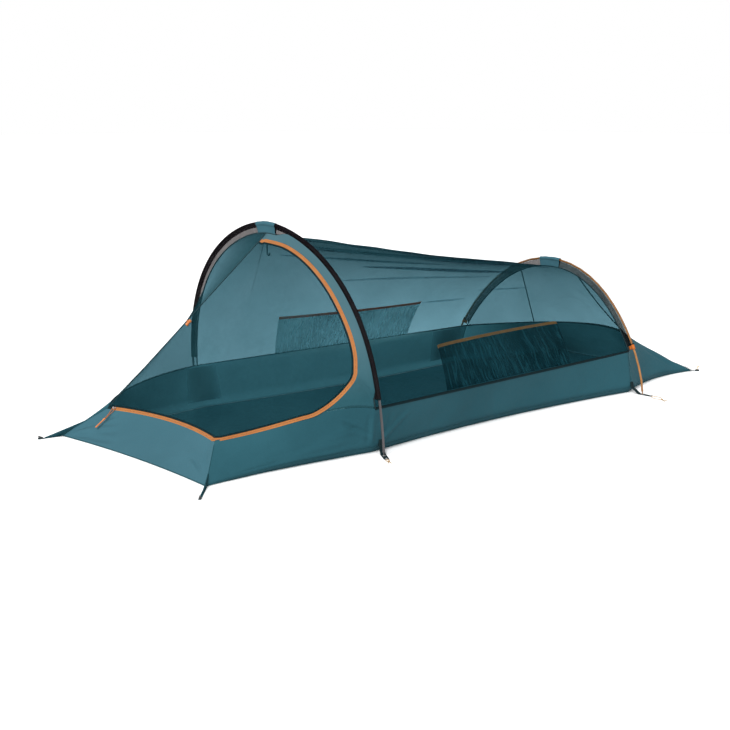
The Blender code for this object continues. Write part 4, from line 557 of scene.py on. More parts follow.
# The strip by the door is painted lighter towards its top, standing for the light on its upper part.
DOOR_STRIP = cloth_look("door strip cloth", (0.015, 0.060, 0.075), (0.019, 0.072, 0.090), crinkle=0.0012,
                        upper=(0.044, 0.096, 0.115))
FLOOR = cloth_look("floor cloth", (0.060, 0.165, 0.182), (0.078, 0.196, 0.216), rough=0.55, crinkle=0.003)
TRIM_COLOURS = ((0.85, 0.190, 0.030), (0.95, 0.235, 0.045), (0.95, 0.33, 0.10), (0.0014, 0.0106))
TRIM = tape_look("pocket trim", *TRIM_COLOURS)
FAR_TRIM = tape_look("far pocket trim", *TRIM_COLOURS, glow=0.55)
ZIP_TAPE = tape_look("zip tape", (0.278, 0.101, 0.030), (0.333, 0.133, 0.041), (0.43, 0.20, 0.078),
                     (0.0012, 0.0056))
TAB_TAPE = tape_look("sleeve tab tape", (0.36, 0.095, 0.018), (0.44, 0.125, 0.027), (0.50, 0.18, 0.055),
                     (0.0014, 0.0106))
BINDING = tape_look("dark binding", (0.0008, 0.007, 0.009), (0.0015, 0.011, 0.014), (0.005, 0.028, 0.034),
                    (0.0030, 0.0130))
STRAP = tape_look("strap webbing", (0.004, 0.012, 0.014), (0.008, 0.020, 0.022), (0.02, 0.04, 0.045),
                  (0.0016, 0.0174), pitch=0.0021, ribs=0.9)
CORNER_WEB = tape_look("corner webbing", (0.005, 0.032, 0.040), (0.009, 0.046, 0.055), (0.03, 0.09, 0.10),
                       (0.0014, 0.0096), pitch=0.0021, ribs=0.9)
PIPING = cord_look("dark piping", (0.002, 0.014, 0.018), (0.005, 0.026, 0.032), 0.0025)
ORANGE_CORD = cord_look("orange cord", (0.26, 0.075, 0.016), (0.44, 0.145, 0.034), PULL_CORD_RADIUS)
SAND_CORD = cord_look("sand cord", (0.30, 0.19, 0.09), (0.52, 0.37, 0.20), FOOT_CORD_RADIUS)
GREY_TUBE = metal_look("grey tube", (0.050, 0.045, 0.048), (0.085, 0.078, 0.080), 0.55, 0.36)
GOLD_TUBE = metal_look("gold tube", (0.23, 0.097, 0.022), (0.31, 0.132, 0.033), 0.35, 0.36)
SILVER = metal_look("silver metal", (0.40, 0.40, 0.40), (0.58, 0.58, 0.58), 0.8, 0.30)
PEG_WIRE = metal_look("grey peg wire", (0.10, 0.10, 0.10), (0.18, 0.18, 0.18), 0.7, 0.38)
PEG_METAL = metal_look("peg metal", (0.42, 0.24, 0.09), (0.56, 0.34, 0.14), 0.6, 0.36)
DARK_PLASTIC = plastic_look("dark moulding", (0.003, 0.006, 0.007), (0.007, 0.011, 0.012))
ORANGE_PLASTIC = plastic_look("orange moulding", (0.38, 0.105, 0.018), (0.48, 0.15, 0.034), 0.5)
ZIP_COIL = coil_look()


# Shapes

def put_in_scene(name, data):
    item = bpy.data.objects.new(name, data)
    bpy.context.scene.collection.objects.link(item)
    return item


def object_of(name, points, faces, look, uv, body="tent"):
    mesh = bpy.data.meshes.new(name)
    mesh.from_pydata((np.asarray(points, float) + SHIFT).tolist(), [], [tuple(int(i) for i in f) for f in faces])
    layer = mesh.uv_layers.new(name="UVMap")
    loops = np.zeros(len(mesh.loops), int)
    mesh.loops.foreach_get("vertex_index", loops)
    layer.data.foreach_set("uv", np.asarray(uv, np.float32)[loops].ravel())
    mesh.materials.append(look)
    mesh.shade_smooth()
    item = put_in_scene(name, mesh)
    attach(item, body)
    return item


def stand_for(item, nodes):
    if nodes:
        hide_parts(*nodes)
    return item


def grid_normals(points):
    normals = np.cross(np.gradient(points, axis=1), np.gradient(points, axis=0))
    return normals / np.maximum(np.linalg.norm(normals, axis=2, keepdims=True), 1e-9)


def grid_uv(points):
    """Return each grid point's lengths of cloth across and down."""
    steps = [np.linalg.norm(np.diff(points, axis=k), axis=2) for k in (1, 0)]
    return np.stack([np.insert(np.cumsum(step, axis=k), 0, 0.0, axis=k) for step, k in zip(steps, (1, 0))], axis=2)


def fold_height(points, folds):
    """Return the height of creases drawn between pairs of points: (from, to, width, height)."""
    total = np.zeros(points.shape[:2])
    for start, end, width, height in folds:
        start, end = np.array(start), np.array(end)
        run = end - start
        share = np.clip(((points - start) @ run) / (run @ run), 0.0, 1.0)
        off = np.linalg.norm(points - (start + share[..., None] * run), axis=2)
        ends = smooth(0.0, 0.22, share) * smooth(0.0, 0.22, 1.0 - share)
        total += height * ends * (np.exp(-(off / width) ** 2) - 0.45 * np.exp(-((off - 1.7 * width) / width) ** 2))
    return total


def ripple_height(points, amount, size, seed):
    found = np.zeros(points.shape[:2])
    for index in np.ndindex(points.shape[:2]):
        p = points[index] / size
        found[index] = noise.noise(Vector((p[0] + 17.3 * seed, p[1] - 5.1 * seed, p[2])))
    return amount * found


def edge_fade(shape, reach=0.12):
    rows, columns = (smooth(0.0, reach, spread(count)) * smooth(0.0, reach, 1.0 - spread(count))
                     for count in shape)
    return rows[:, None] * columns[None, :]


def cloth(name, rows, look, nodes, body="tent", thick=0.0, folds=(),
          ripple=None, keep_up=None, declare=True, lining=None, crown=None):
    points = np.array(rows, float)
    flat = grid_uv(points)
    height = np.zeros(points.shape[:2])
    if folds:
        height += fold_height(points, folds)
    if ripple:
        height += ripple_height(points, *ripple)
    if folds or ripple:
        points = points + grid_normals(points) * (height * edge_fade(points.shape[:2]))[..., None]
    if keep_up is not None:
        points[..., 2] = np.maximum(points[..., 2], keep_up)
    count, wide = points.shape[:2]
    index = np.arange(count * wide).reshape(count, wide)
    faces = np.stack([index[:-1, :-1], index[:-1, 1:], index[1:, 1:], index[1:, :-1]], axis=-1).reshape(-1, 4)
    item = object_of(name, points.reshape(-1, 3), faces, look, flat.reshape(-1, 2), body)
    if crown is not None:
        layer = item.data.attributes.new("crown", 'FLOAT', 'POINT')
        layer.data.foreach_set("value", np.repeat(np.asarray(crown), wide).astype(np.float32))
    shape = bmesh.new()
    shape.from_mesh(item.data)
    bmesh.ops.remove_doubles(shape, verts=shape.verts, dist=2e-5)
    area = sum(face.calc_area() for face in shape.faces)
    shape.to_mesh(item.data)
    shape.free()
    if thick:
        layer = item.modifiers.new("cloth thickness", 'SOLIDIFY')
        layer.thickness = thick
        layer.offset = 0.0
        if lining is not None:
            item.data.materials.append(lining)
            layer.material_offset = 1
    stand_for(item, nodes)
    if declare:
        wide, long = (max(flat[..., k].max(), NARROWEST_SHEET) for k in (0, 1))
        wide = max(min(wide, area / (0.6 * long)), NARROWEST_SHEET)
    return item


def ribbon(name, path, across, half, look, nodes, body="tent", thick=TAPE_THICK, declare=True):
    """Make a flat tape along a path."""
    rows = [[point + side * wide * t for t in spread(5, -1, 1)]
            for point, side, wide in zip(path, across, np.broadcast_to(half, len(path)))]
    return cloth(name, rows, look, nodes, body, thick, declare=declare)


def pipe(name, path, radius, look, sides=8, closed=False, body="tent", nodes=()):
    """Make a round bar along a path."""
    count = len(path)
    if closed:
        tangents = [unit(path[(k + 1) % count] - path[k - 1]) for k in range(count)]
    else:
        tangents = tangents_of(path)
    aside = unit(np.cross(tangents[0], vec(0.31, 0.17, 0.93)))
    points, uv, travelled = [], [], 0.0
    for k, (point, tangent, size) in enumerate(zip(path, tangents, np.broadcast_to(radius, count))):
        aside = square_to(aside, tangent)
        other = np.cross(tangent, aside)
        travelled += np.linalg.norm(point - path[k - 1]) if k else 0.0
        for corner in range(sides):
            a = 2.0 * math.pi * corner / sides
            points.append(point + size * (aside * math.cos(a) + other * math.sin(a)))
            uv.append((size * a, travelled))
    faces = []
    for k in range(count if closed else count - 1):
        here, there = k * sides, ((k + 1) % count) * sides
        for corner in range(sides):
            beside = (corner + 1) % sides
            faces.append((here + corner, here + beside, there + beside, there + corner))
    if not closed:
        faces.append(tuple(range(sides))[::-1])
        faces.append(tuple(range((count - 1) * sides, count * sides)))
    return stand_for(object_of(name, points, faces, look, uv, body), nodes)


def knot(name, centre, direction, size, radius, look, body):
    """Make an overhand knot as a closed trefoil of cord, drawn tight."""
    run = unit(direction)
    side = unit(np.cross(run, UP))
    rise = np.cross(side, run)
    path = []
    for t in np.linspace(0.0, 2.0 * math.pi, 40, endpoint=False):
        x = math.sin(t) + 2.0 * math.sin(2.0 * t)
        y = math.cos(t) - 2.0 * math.cos(2.0 * t)
        path.append(centre + size * (run * x / 3.0 + side * y / 3.0 + rise * -math.sin(3.0 * t) / 2.6))
    return pipe(name, path, radius, look, 8, True, body)


def cord_curve(name, points, radius, look, body, nodes):
    curve = bpy.data.curves.new(name, 'CURVE')
    curve.dimensions = '3D'
    curve.bevel_depth = radius
    curve.bevel_resolution = 3
    curve.use_fill_caps = True
    line = curve.splines.new('POLY')
    line.points.add(len(points) - 1)
    for spot, point in zip(line.points, points):
        spot.co = (*(point + SHIFT), 1.0)
    curve.materials.append(look)
    item = put_in_scene(name, curve)
    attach(item, body)
    return stand_for(item, nodes)


# Camera, light and stage

def turn_to(item, way, forward, upward):
    item.rotation_mode = 'QUATERNION'
    item.rotation_quaternion = Vector(way).to_track_quat(forward, upward)


def make_camera():
    data = bpy.data.cameras.new("photo camera")
    data.lens, data.sensor_width = CAMERA_LENS, SENSOR_WIDTH
    item = put_in_scene("photo camera", data)
    yaw, pitch = math.radians(CAMERA_YAW), math.radians(CAMERA_PITCH)
    item.location = CAMERA_AT
    turn_to(item, (math.sin(yaw) * math.cos(pitch), math.cos(yaw) * math.cos(pitch), math.sin(pitch)), '-Z', 'Y')
    bpy.context.scene.camera = item


def make_stage():
    mesh = bpy.data.meshes.new("studio_floor")
    corners = [(x * STAGE_SIZE, y * STAGE_SIZE, -STAGE_DROP) for x, y in ((-1, -1), (1, -1), (1, 1), (-1, 1))]
    mesh.from_pydata(corners, [], [(0, 1, 2, 3)])
    mesh.materials.append(stage_look())
    floor = put_in_scene("studio_floor", mesh)
    world = bpy.data.worlds.new("studio")
    bpy.context.scene.world = world
    world.use_nodes = True
    sky = world.node_tree.nodes["Background"].inputs
    sky["Color"].default_value = (1.0, 1.0, 1.0, 1.0)
    sky["Strength"].default_value = 1.0
    data = bpy.data.lights.new("key", 'SUN')
    data.energy, data.angle = SUN_ENERGY, math.radians(SUN_SPREAD)
    turn_to(put_in_scene("key", data), SUN_FROM, 'Z', 'Y')
    bpy.context.scene.view_settings.view_transform = 'Standard'


# Foot cords and the slider's cord

def strap_direction(slant, near):
    angle = math.radians(slant)
    return vec(-math.sin(angle), -math.cos(angle) if near else math.cos(angle), 0.0)


def make_foot_cords():
    height, tight, knot_size, point_pitch = FOOT_CORD_RADIUS + 0.0003, FOOT_CORD_RADIUS + 0.0004, 0.0034, 0.0028
    for prefix, hoop, strap_slant, slant, loop, width, tails in (
            ("front", FRONT, FRONT_STRAP_SLANT, FRONT_STRAP_SLANT, 0.030, 0.014, 0.022),
            ("rear", REAR, 0.0, REAR_CORD_SLANT, 0.074, 0.034, 0.034)):
        shape = [(0.0, 0.0), (0.003, 0.0036), (0.25 * loop, 0.40 * width), (0.5 * loop, 0.5 * width),
                 (0.8 * loop, 0.28 * width), (loop - 0.004, tight), (loop + 0.004, tight),
                 (loop + 0.4 * tails, tight + 0.08 * tails), (loop + tails, tight + 0.22 * tails)]
        for side, near in (("near", True), ("far", False)):
            name = prefix + "_foot_cord_" + side
            out = strap_direction(slant, near)
            aside = unit(np.cross(out, UP))
            reach = FOOT_STRAP_REACH + 0.0006 + FOOT_CORD_RADIUS
            start = hoop.foot(near) + strap_direction(strap_slant, near) * reach
            tie = at_height(start + out * loop, 2.2 * FOOT_CORD_RADIUS)
            tied = knot(name + "_knot", tie, out, knot_size, FOOT_CORD_RADIUS, SAND_CORD, "tent")
            for letter, way in (("a", 1.0), ("b", -1.0)):
                strand = catmull([start + out * x + aside * (way * y) for x, y in shape], 6)
                route = [at_height(p, height) for p in strand]
                route = along(route, spread(max(int(lengths_of(route)[-1] / point_pitch), 12) + 1))
                piece = cord_curve(name + "_" + letter, route, FOOT_CORD_RADIUS, SAND_CORD, "tent", [name])


def front_wall_point(share, down):
    rim, crease = front_rim(share), front_edge(share) + UP * CORNER_LIFT
    slope = unit(crease - rim)
    return blend(rim, crease, down) + unit(vec(-slope[2], 0.0, slope[0])) * FRONT_WALL_SAG * hump(share) * hump(down)


def on_front_wall(y, below, height):
    """Return the point at y, so far below the rim along the front wall, at a height off it."""
    share = 0.5 + 0.5 * y / FRONT_RIM_HALF
    for _ in range(8):
        down = below / np.linalg.norm(front_wall_point(share, 1.0) - front_wall_point(share, 0.0))
        share += 0.5 * (y - front_wall_point(share, down)[1]) / FRONT_RIM_HALF
    here = front_wall_point(share, down)
    out = np.cross(front_wall_point(share, down + 0.01) - here, front_wall_point(share + 0.01, down) - here)
    return here + facing(unit(out), -AHEAD) * height


def front_rim_lift(share):
    up = unit(APEX - front_rim(0.5))
    return unit(front_rim_out(share) * float(up @ ARC_OUT) + ARC_AXIS * float(up @ ARC_AXIS))


def make_pull_cord():
    point = front_rim(SLIDER_SHARE)
    run = unit(front_rim(SLIDER_SHARE + 0.01) - front_rim(SLIDER_SHARE - 0.01))
    lift = square_to(front_rim_lift(SLIDER_SHARE), run)
    outward = facing(np.cross(lift, run), -AHEAD)
    on_wall, in_bail, off_wall_slope, knot_size = 0.0028, 0.0074, 0.110, 0.0036
    shape = [(0.0, 0.0, 1.0), (0.0, 0.00285, 1.0), (0.003, 0.0055, 0.9), (0.010, 0.0061, 0.45),
             (0.022, 0.0055, 0.05), (0.036, 0.0033, 0.0), (0.066, 0.0017, 0.0)]
    ends = []
    for letter, sign in (("a", 1.0), ("b", -1.0)):
        route = []
        for below, aside, raised in shape:
            over_wall = on_front_wall(point[1] + sign * aside, below, on_wall + off_wall_slope * below)
            over_slider = point + outward * in_bail - lift * below + run * sign * aside
            route.append(blend(over_wall, over_slider, raised))
        route = along(catmull(route, 8), spread(27))
        piece = cord_curve("zip_pull_strand_" + letter, route, PULL_CORD_RADIUS, ORANGE_CORD, "slider",
                           ["zip_pull_cord"])
        ends.append(route[-1])
    knot("zip_pull_knot", 0.5 * (ends[0] + ends[1]), route[-1] - route[-5], knot_size, PULL_CORD_RADIUS,
         ORANGE_CORD, "slider")


# Cloth panels

# The points inside the tent that each net sags towards.
CANOPY_HEART, REAR_HEART = vec(0.5 * (FRONT_HOOP_X + REAR_HOOP_X), 0.0, 0.2), vec(REAR_HOOP_X, 0.0, 0.15)
FAR_FRONT_HEART, PLEAT_HEART = vec(0.45, 0.0, 0.12), vec(1.0, 0.0, 0.1)


def canopy_spot(share, t):
    """Return a point of the roof: share along it, t round it from the near rim to the far one."""
    p = blend(FRONT.arch(t), REAR.arch(t), share)
    return p + unit(CANOPY_HEART - p) * CANOPY_SAG * hump(share)


def canopy_crown(count):
    """Return how close the roof's net is at each row: open by the rims, close between the upper folds."""
    place = 1.0 - np.abs(spread(count, -1.0, 1.0))
    return 0.80 * place + 0.20 * smooth(0.58, 0.84, place)


def make_canopy():
    rows = [[canopy_spot(share, t) for share in spread(97)] for t in spread(151)]
    folds = [(canopy_spot(0.02, 0.410), canopy_spot(0.90, 0.465), 0.018, -0.006),
             (canopy_spot(0.02, 0.350), canopy_spot(0.82, 0.430), 0.015, -0.005),
             (canopy_spot(0.02, 0.590), canopy_spot(0.90, 0.550), 0.018, -0.005)]
    cloth("canopy_net", rows, TEAL_NET, ["canopy"],
          folds=folds, ripple=(0.003, 0.16, 1), crown=canopy_crown(len(rows)))


def zip_path():
    """Return the zip's centre line, and its directions into the door and out along the cloth."""
    top = []
    for u in spread(14, ZIP_START, 1.0):
        hoop_end, rim_end = front_fan(u)
        top.append(blend(hoop_end, rim_end, ZIP_TOP_DROP / np.linalg.norm(rim_end - hoop_end)))
    smoothed = catmull([top[-1]] + [blend(*front_fan(u), share) for u, share in ZIP_CONTROLS], PATH_FINE)
    foot = PATH_FINE * 6
    down = along(smoothed[:foot + 1], list(spread(14, 0.0, 0.985)) + [1.0])
    round_foot = along(smoothed[foot:], [0.0] + list(spread(6, 0.1, 1.0)))
    rim_places = spread(9, ZIP_CONTROLS[-1][0], ZIP_RIM_END)[1:]
    near_rim = [side_rim(1.0 - u, True) for u in rim_places]
    shares = [0.020, 0.034, 0.050, 0.085] + list(spread(9, 0.165, 0.970))
    front = [front_rim(share) for share in shares]
    path = top[:-1] + down[:-1] + round_foot + near_rim
    inside = blend(*front_fan(1.0), 0.55)
    across = [square_to(inside - point, tangent) for point, tangent in zip(path, tangents_of(path + front[:1]))]
    across += [front_rim_lift(share) for share in shares]
    runs = tangents_of(path + front)
    first = len(path) - len(near_rim)
    outer = []
    for k, (point, side, run) in enumerate(zip(path, across, runs)):
        down_wall = -side
        if k >= first:
            wall = floor_side(1.0 - rim_places[k - first], True) + UP * EDGE_LIFT - point
            down_wall = blend(-side, square_to(wall, run), min(1.0, (k - first + 1) / 3.0))
        outer.append(unit(down_wall))
    for share, run, point in zip(shares, runs[len(path):], front):
        outer.append(square_to(front_wall_point(share, 0.08) - point, run))
    return path + front, across, outer


ZIP_PATH, ZIP_ACROSS, ZIP_OUTER = zip_path()
ZIP_FINE = catmull(ZIP_PATH, PATH_FINE)
ZIP_FINE_ACROSS, ZIP_FINE_OUTER = ([unit(v) for v in catmull(ways, PATH_FINE)] for ways in (ZIP_ACROSS, ZIP_OUTER))
ZIP_TURN = 27 * PATH_FINE


def make_zip():
    for name, start, end, sides in (("zip_tape_outer", ZIP_OUT, ZIP_GAP, ZIP_FINE_OUTER),
                                    ("zip_tape_inner", ZIP_GAP, ZIP_IN, ZIP_FINE_ACROSS)):
        rows = [[p + side * blend(start, end, t) for t in spread(4)] for p, side in zip(ZIP_FINE, sides)]
        cloth(name, rows, ZIP_TAPE, ["door_zip_tape"], thick=THIN_CLOTH)
    pipe("zip_coil", ZIP_FINE, COIL_RADIUS, ZIP_COIL, nodes=["door_zip_tape"])


def over_fin(s):
    """Return the strip's edge: at the seam by the crown, then up to the channel down the leg."""
    under_pole, lip_out, seam_out, sleeve_end = 0.0105, 0.0046, 0.0016, FRONT.place_at(SLEEVE_END_HEIGHT, FRONT.point)
    lip = FRONT.point(s) + FRONT.inward(s) * under_pole - FRONT.normal * lip_out
    share = smooth(0.0, 0.085, FRONT.crown - FRONT_PATCH_HALF - s) * smooth(0.0, 0.030, s - sleeve_end)
    return blend(FRONT.seam(s) - FRONT.normal * seam_out * min(share * 8.0, 1.0), lip, share)


def make_near_strip():
    """Make the solid strip from the zip to the peak, then to the hoop, then to the near rim."""
    peak_end, hoop_end, strip_end = 13.0, 27.0, 30.0
    rows = []
    for w in spread(30 * STRIP_FINE + 1, 0.0, strip_end):
        k = min(w * PATH_FINE, len(ZIP_FINE) - 1)
        i = min(int(k), len(ZIP_FINE) - 2)
        side = unit(blend(ZIP_FINE_OUTER[i], ZIP_FINE_OUTER[i + 1], k - i))
        edge = blend(ZIP_FINE[i], ZIP_FINE[i + 1], k - i) + side * STRIP_AT_ZIP
        if w <= peak_end:
            start = APEX
        elif w <= hoop_end:
            start = over_fin(blend(FRONT.crown, FRONT.rim, (w - peak_end) / (hoop_end - peak_end)))
        else:
            start = side_rim(1.0 - (w - hoop_end) / 10.0, True) + UP * 0.004
        rows.append([blend(start, edge, share) for share in spread(13)])
    folds = [((0.615, -0.500, 0.26), (0.545, -0.455, 0.235), 0.010, -0.004),
             ((0.632, -0.500, 0.32), (0.575, -0.470, 0.300), 0.009, -0.003)]
    cloth("front_near_cloth", rows, DOOR_STRIP, ["front_near_panel"], thick=WALL_THICK,
          folds=folds, ripple=(0.0015, 0.05, 2))


def make_door():
    edge, hem = ([p + side * at for p, side in zip(ZIP_FINE, ZIP_FINE_ACROSS)] for at in (DOOR_AT_ZIP, HEM_AT_ZIP))
    shares = spread(61)
    rows = []
    for j in range(0, ZIP_TURN + 1, 2):
        a, b = edge[ZIP_TURN - j], edge[min(ZIP_TURN + j, len(edge) - 1)]
        rows.append([blend(a, b, share) for share in shares])
    below_zip, above_corner, off_hinge = 0.008, 0.010, 0.0014
    top, foot = APEX + HINGE * (ZIP_TOP_DROP + below_zip), FAR_CORNER + unit(APEX - FAR_CORNER) * above_corner
    into = square_to(NEAR_CORNER - APEX, HINGE)
    last = [blend(top, foot, share) + into * off_hinge for share in shares]
    before = rows[-1]
    rows += [[blend(a, b, t) for a, b in zip(before, last)] for t in spread(5)[1:]]
    cloth("door_net", rows, DOOR_NET, ["door_panel"], "door",
          ripple=(0.0020, 0.17, 3), crown=[max(row[0][2], row[-1][2]) / APEX[2] for row in rows])
    ribbon("door_hem", hem, ZIP_FINE_ACROSS, DOOR_HEM_HALF, BINDING, [], "door", thick=TAB_THICK)


def far_spot(t, share):
    """Return a point of the far front net: t round from the hinge, share down from the hoop."""
    p = blend(FRONT.seam(blend(FRONT.crown, FRONT.total - FRONT.rim, t)), side_rim(t, False), share)
    return p + unit(FAR_FRONT_HEART - p) * FAR_FRONT_SAG * hump(t, 0.7) * hump(share)


def pleat(name, spot, start, end, width, look):
    """Make a narrow pleat of doubled net that runs over a net's surface and tapers at both ends; the pleat nets'
    darker threads paint crease shade along it.
    """
    lift, near, narrowest_declared, rows = 0.0016, 0.01, 0.009, []
    step_a, step_b = 0.02 * (end[0] - start[0]), 0.02 * (end[1] - start[1])
    for k in spread(48):
        a, b = blend(start[0], end[0], k), blend(start[1], end[1], k)
        here = spot(a, b)
        run = unit(spot(a + step_a, b + step_b) - spot(a - step_a, b - step_b))
        out = unit(np.cross(spot(a + near, b) - spot(a - near, b), spot(a, b + near) - spot(a, b - near)))
        out = facing(out, here - PLEAT_HEART)
        half = 0.5 * width * math.sin(math.pi * blend(0.03, 0.97, k)) ** 0.6
        rows.append([here + unit(np.cross(out, run)) * half * t + out * lift for t in spread(5, -1.0, 1.0)])
    cloth(name, rows, look, [], declare=width > narrowest_declared)


def make_far_front():
    turns = spread(73)
    rows = [[far_spot(t, share) for share in spread(49, 0.004, 0.992)] for t in turns]
    folds = [(far_spot(0.10, 0.96), far_spot(0.16, 0.30), 0.010, -0.004),
             (far_spot(0.14, 0.96), far_spot(0.30, 0.35), 0.010, -0.004)]
    cloth("front_far_net", rows, FAR_NET, ["front_far_panel"],
          folds=folds, ripple=(0.003, 0.13, 4), crown=np.clip(1.0 - turns / 0.30, 0.0, 1.0))
    # The gathers by the far corner are pleats of the darker net: partly doubled net, partly painted crease shade
    # along the wrinkles.
    gathers = ((0.030, 0.045, 0.30), (0.050, 0.085, 0.42), (0.075, 0.130, 0.50), (0.100, 0.190, 0.56),
               (0.130, 0.260, 0.62))
    for number, (low, high, top) in enumerate(gathers):
        pleat("far_panel_pleat_%d" % (number + 1), far_spot, (low, 0.985), (high, top), 0.0034,
              PLEAT_NET)


def rear_spot(arch_share, rim_share, down):
    """Return a point of the rear nets, down from the hoop's seam to the rim behind it."""
    p = blend(REAR.arch(arch_share), rear_rim(rim_share), down)
    return p + unit(REAR_HEART - p) * REAR_SAG * hump(down)


def make_rear_nets():
    stops = ((0.0, 0.0), (REAR_SEAM_SHARE, REAR_NET_FOLD), (1.0 - REAR_SEAM_SHARE, 1.0 - REAR_NET_FOLD), (1.0, 1.0))
    for number, part in enumerate(("near", "end", "far")):
        (a0, r0), (a1, r1) = stops[number:number + 2]
        rows = [[rear_spot(blend(a0, a1, t), blend(r0, r1, t), down) for down in spread(33, 0.0, 0.99)]
                for t in spread(33)]
        cloth("rear_%s_net" % part, rows, REAR_NET, ["rear_%s_mesh" % part],
              ripple=(0.002, 0.12, 5 + number))
    for side, (share, rim_share) in (("near", stops[1]), ("far", stops[2])):
        pipe("rear_seam_" + side, [rear_spot(share, rim_share, down) for down in spread(25)], REAR_PIPING, PIPING)


def wall_profile(ground, crease, top, steps=16, belly=0.0):
    """Return a wall column: a rounded fold over the crease and a faintly bellied face above it."""
    shoulder = blend(crease, top, 0.10)
    fold = [blend(blend(ground, crease, t), blend(crease, shoulder, t), t) for t in spread(7)[:-1]]
    return fold + [blend(shoulder, top, t) + ASIDE * belly * hump(t) for t in spread(steps)]


def side_wall_columns(near):
    sign, bellied = 1.0 if near else -1.0, 0.004
    columns = []
    for u in list(spread(121)) + list(spread(111, 1.0, 2.0))[1:]:
        edge, lift = floor_side(u, near), edge_lift(u)
        ground = wall_ground(edge, lift, vec(1.0 if u == 0.0 else 0.0, sign, 0.0))
        belly = bellied * hump(u % 1.0) if u < 2.0 else 0.0
        columns.append(wall_profile(ground, wall_crease(edge, lift), side_rim_point(u, near), 28, sign * belly))
    return columns


def front_wall_columns():
    columns = []
    for share in spread(121):
        mitre = {0.0: 1.0, 1.0: -1.0}.get(float(share), 0.0)
        ground = wall_ground(front_edge(share), 0.0, vec(1.0, mitre, 0.0))
        columns.append([ground] + [front_wall_point(share, down) for down in spread(40, 1.0, 0.030)])
    return columns


def rear_wall_columns():
    """Return the rear wall's columns: the near tail, the end and the far tail."""
    columns = []
    for w in spread(121, 0.0, 3.0):
        if w <= 1.0 or w >= 2.0:
            near = w <= 1.0
            from_side = w if near else 3.0 - w
            edge, lift = floor_side(2.0 + from_side, near), edge_lift(2.0 + from_side)
            inward = ASIDE if near else -ASIDE
            share = REAR_WALL_FOLD * from_side
            share = share if near else 1.0 - share
        else:
            edge, inward, lift = rear_edge(w - 1.0), -AHEAD, 0.0
            share = blend(REAR_WALL_FOLD, 1.0 - REAR_WALL_FOLD, w - 1.0)
        columns.append(wall_profile(wall_ground(edge, lift, inward), wall_crease(edge, lift), rear_rim(share)))
    return columns


def folds_from(start, ends):
    return [(start, end, width, height) for end, width, height in ends]


def make_walls():
    corner, near_foot, far_foot = (0.020, -0.440, 0.020), (0.010, -0.435, 0.010), (0.010, 0.435, 0.010)
    near_folds = folds_from(corner, (
        ((0.36, -0.450, 0.11), 0.009, -0.007), ((0.21, -0.400, 0.105), 0.006, 0.006),
        ((0.44, -0.480, 0.060), 0.007, -0.006), ((0.30, -0.430, 0.120), 0.006, 0.005),
        ((0.60, -0.500, 0.045), 0.009, 0.006), ((0.15, -0.375, 0.105), 0.005, -0.005),
        ((0.13, -0.400, 0.075), 0.005, 0.004)))
    near_folds += [((0.30, -0.480, 0.030), (0.62, -0.505, 0.110), 0.008, 0.005),
                   ((0.22, -0.470, 0.030), (0.50, -0.490, 0.100), 0.008, -0.005),
                   ((0.52, -0.490, 0.135), (0.68, -0.500, 0.060), 0.008, 0.005),
                   ((0.66, -0.505, 0.03), (0.66, -0.512, 0.15), 0.009, -0.005),
                   ((0.70, -0.505, 0.03), (0.75, -0.512, 0.15), 0.009, 0.005),
                   ((0.69, -0.505, 0.03), (0.86, -0.500, 0.14), 0.009, -0.005),
                   ((2.12, -0.505, 0.03), (2.04, -0.512, 0.15), 0.010, 0.006),
                   ((2.10, -0.505, 0.03), (1.94, -0.500, 0.14), 0.010, -0.005)]
    front_folds = folds_from(near_foot, (
        ((0.11, -0.300, 0.090), 0.008, -0.006), ((0.09, -0.200, 0.075), 0.010, -0.005),
        ((0.12, -0.330, 0.100), 0.005, 0.005), ((0.07, -0.260, 0.040), 0.008, 0.004)))
    front_folds += folds_from(far_foot, (
        ((0.13, 0.250, 0.100), 0.010, -0.006), ((0.10, 0.200, 0.070), 0.012, 0.005),
        ((0.12, 0.310, 0.100), 0.006, 0.005), ((0.05, 0.150, 0.030), 0.012, -0.004)))
    tail_folds = [((2.70, -0.40, 0.02), (2.36, -0.42, 0.150), 0.012, -0.009),
                  ((2.68, -0.40, 0.03), (2.45, -0.34, 0.160), 0.011, -0.008),
                  ((2.66, -0.42, 0.015), (2.30, -0.47, 0.10), 0.012, -0.008),
                  ((2.70, -0.40, 0.02), (2.28, -0.45, 0.140), 0.012, 0.007),
                  ((2.70, 0.40, 0.02), (2.36, 0.42, 0.150), 0.012, -0.006)]
    for place, columns, look, slot, lining, folds, ripple in (
            ("near", side_wall_columns(True), BACKLIT_WALL_LINING, "wall_cloth", WALL, near_folds, (0.0030, 0.10, 11)),
            ("far", side_wall_columns(False), WALL, "wall_cloth", BACKLIT_WALL_LINING, (), (0.0030, 0.10, 12)),
            ("front", front_wall_columns(), STRIP, "strip_cloth", None, front_folds, (0.0012, 0.10, 13)),
            ("rear", rear_wall_columns(), BACKLIT_WALL_LINING, "wall_cloth", WALL, tail_folds, (0.0025, 0.10, 14))):
        cloth(place + "_wall_cloth", columns, look, [place + "_wall"], thick=WALL_THICK,
              folds=folds, ripple=ripple, lining=lining)


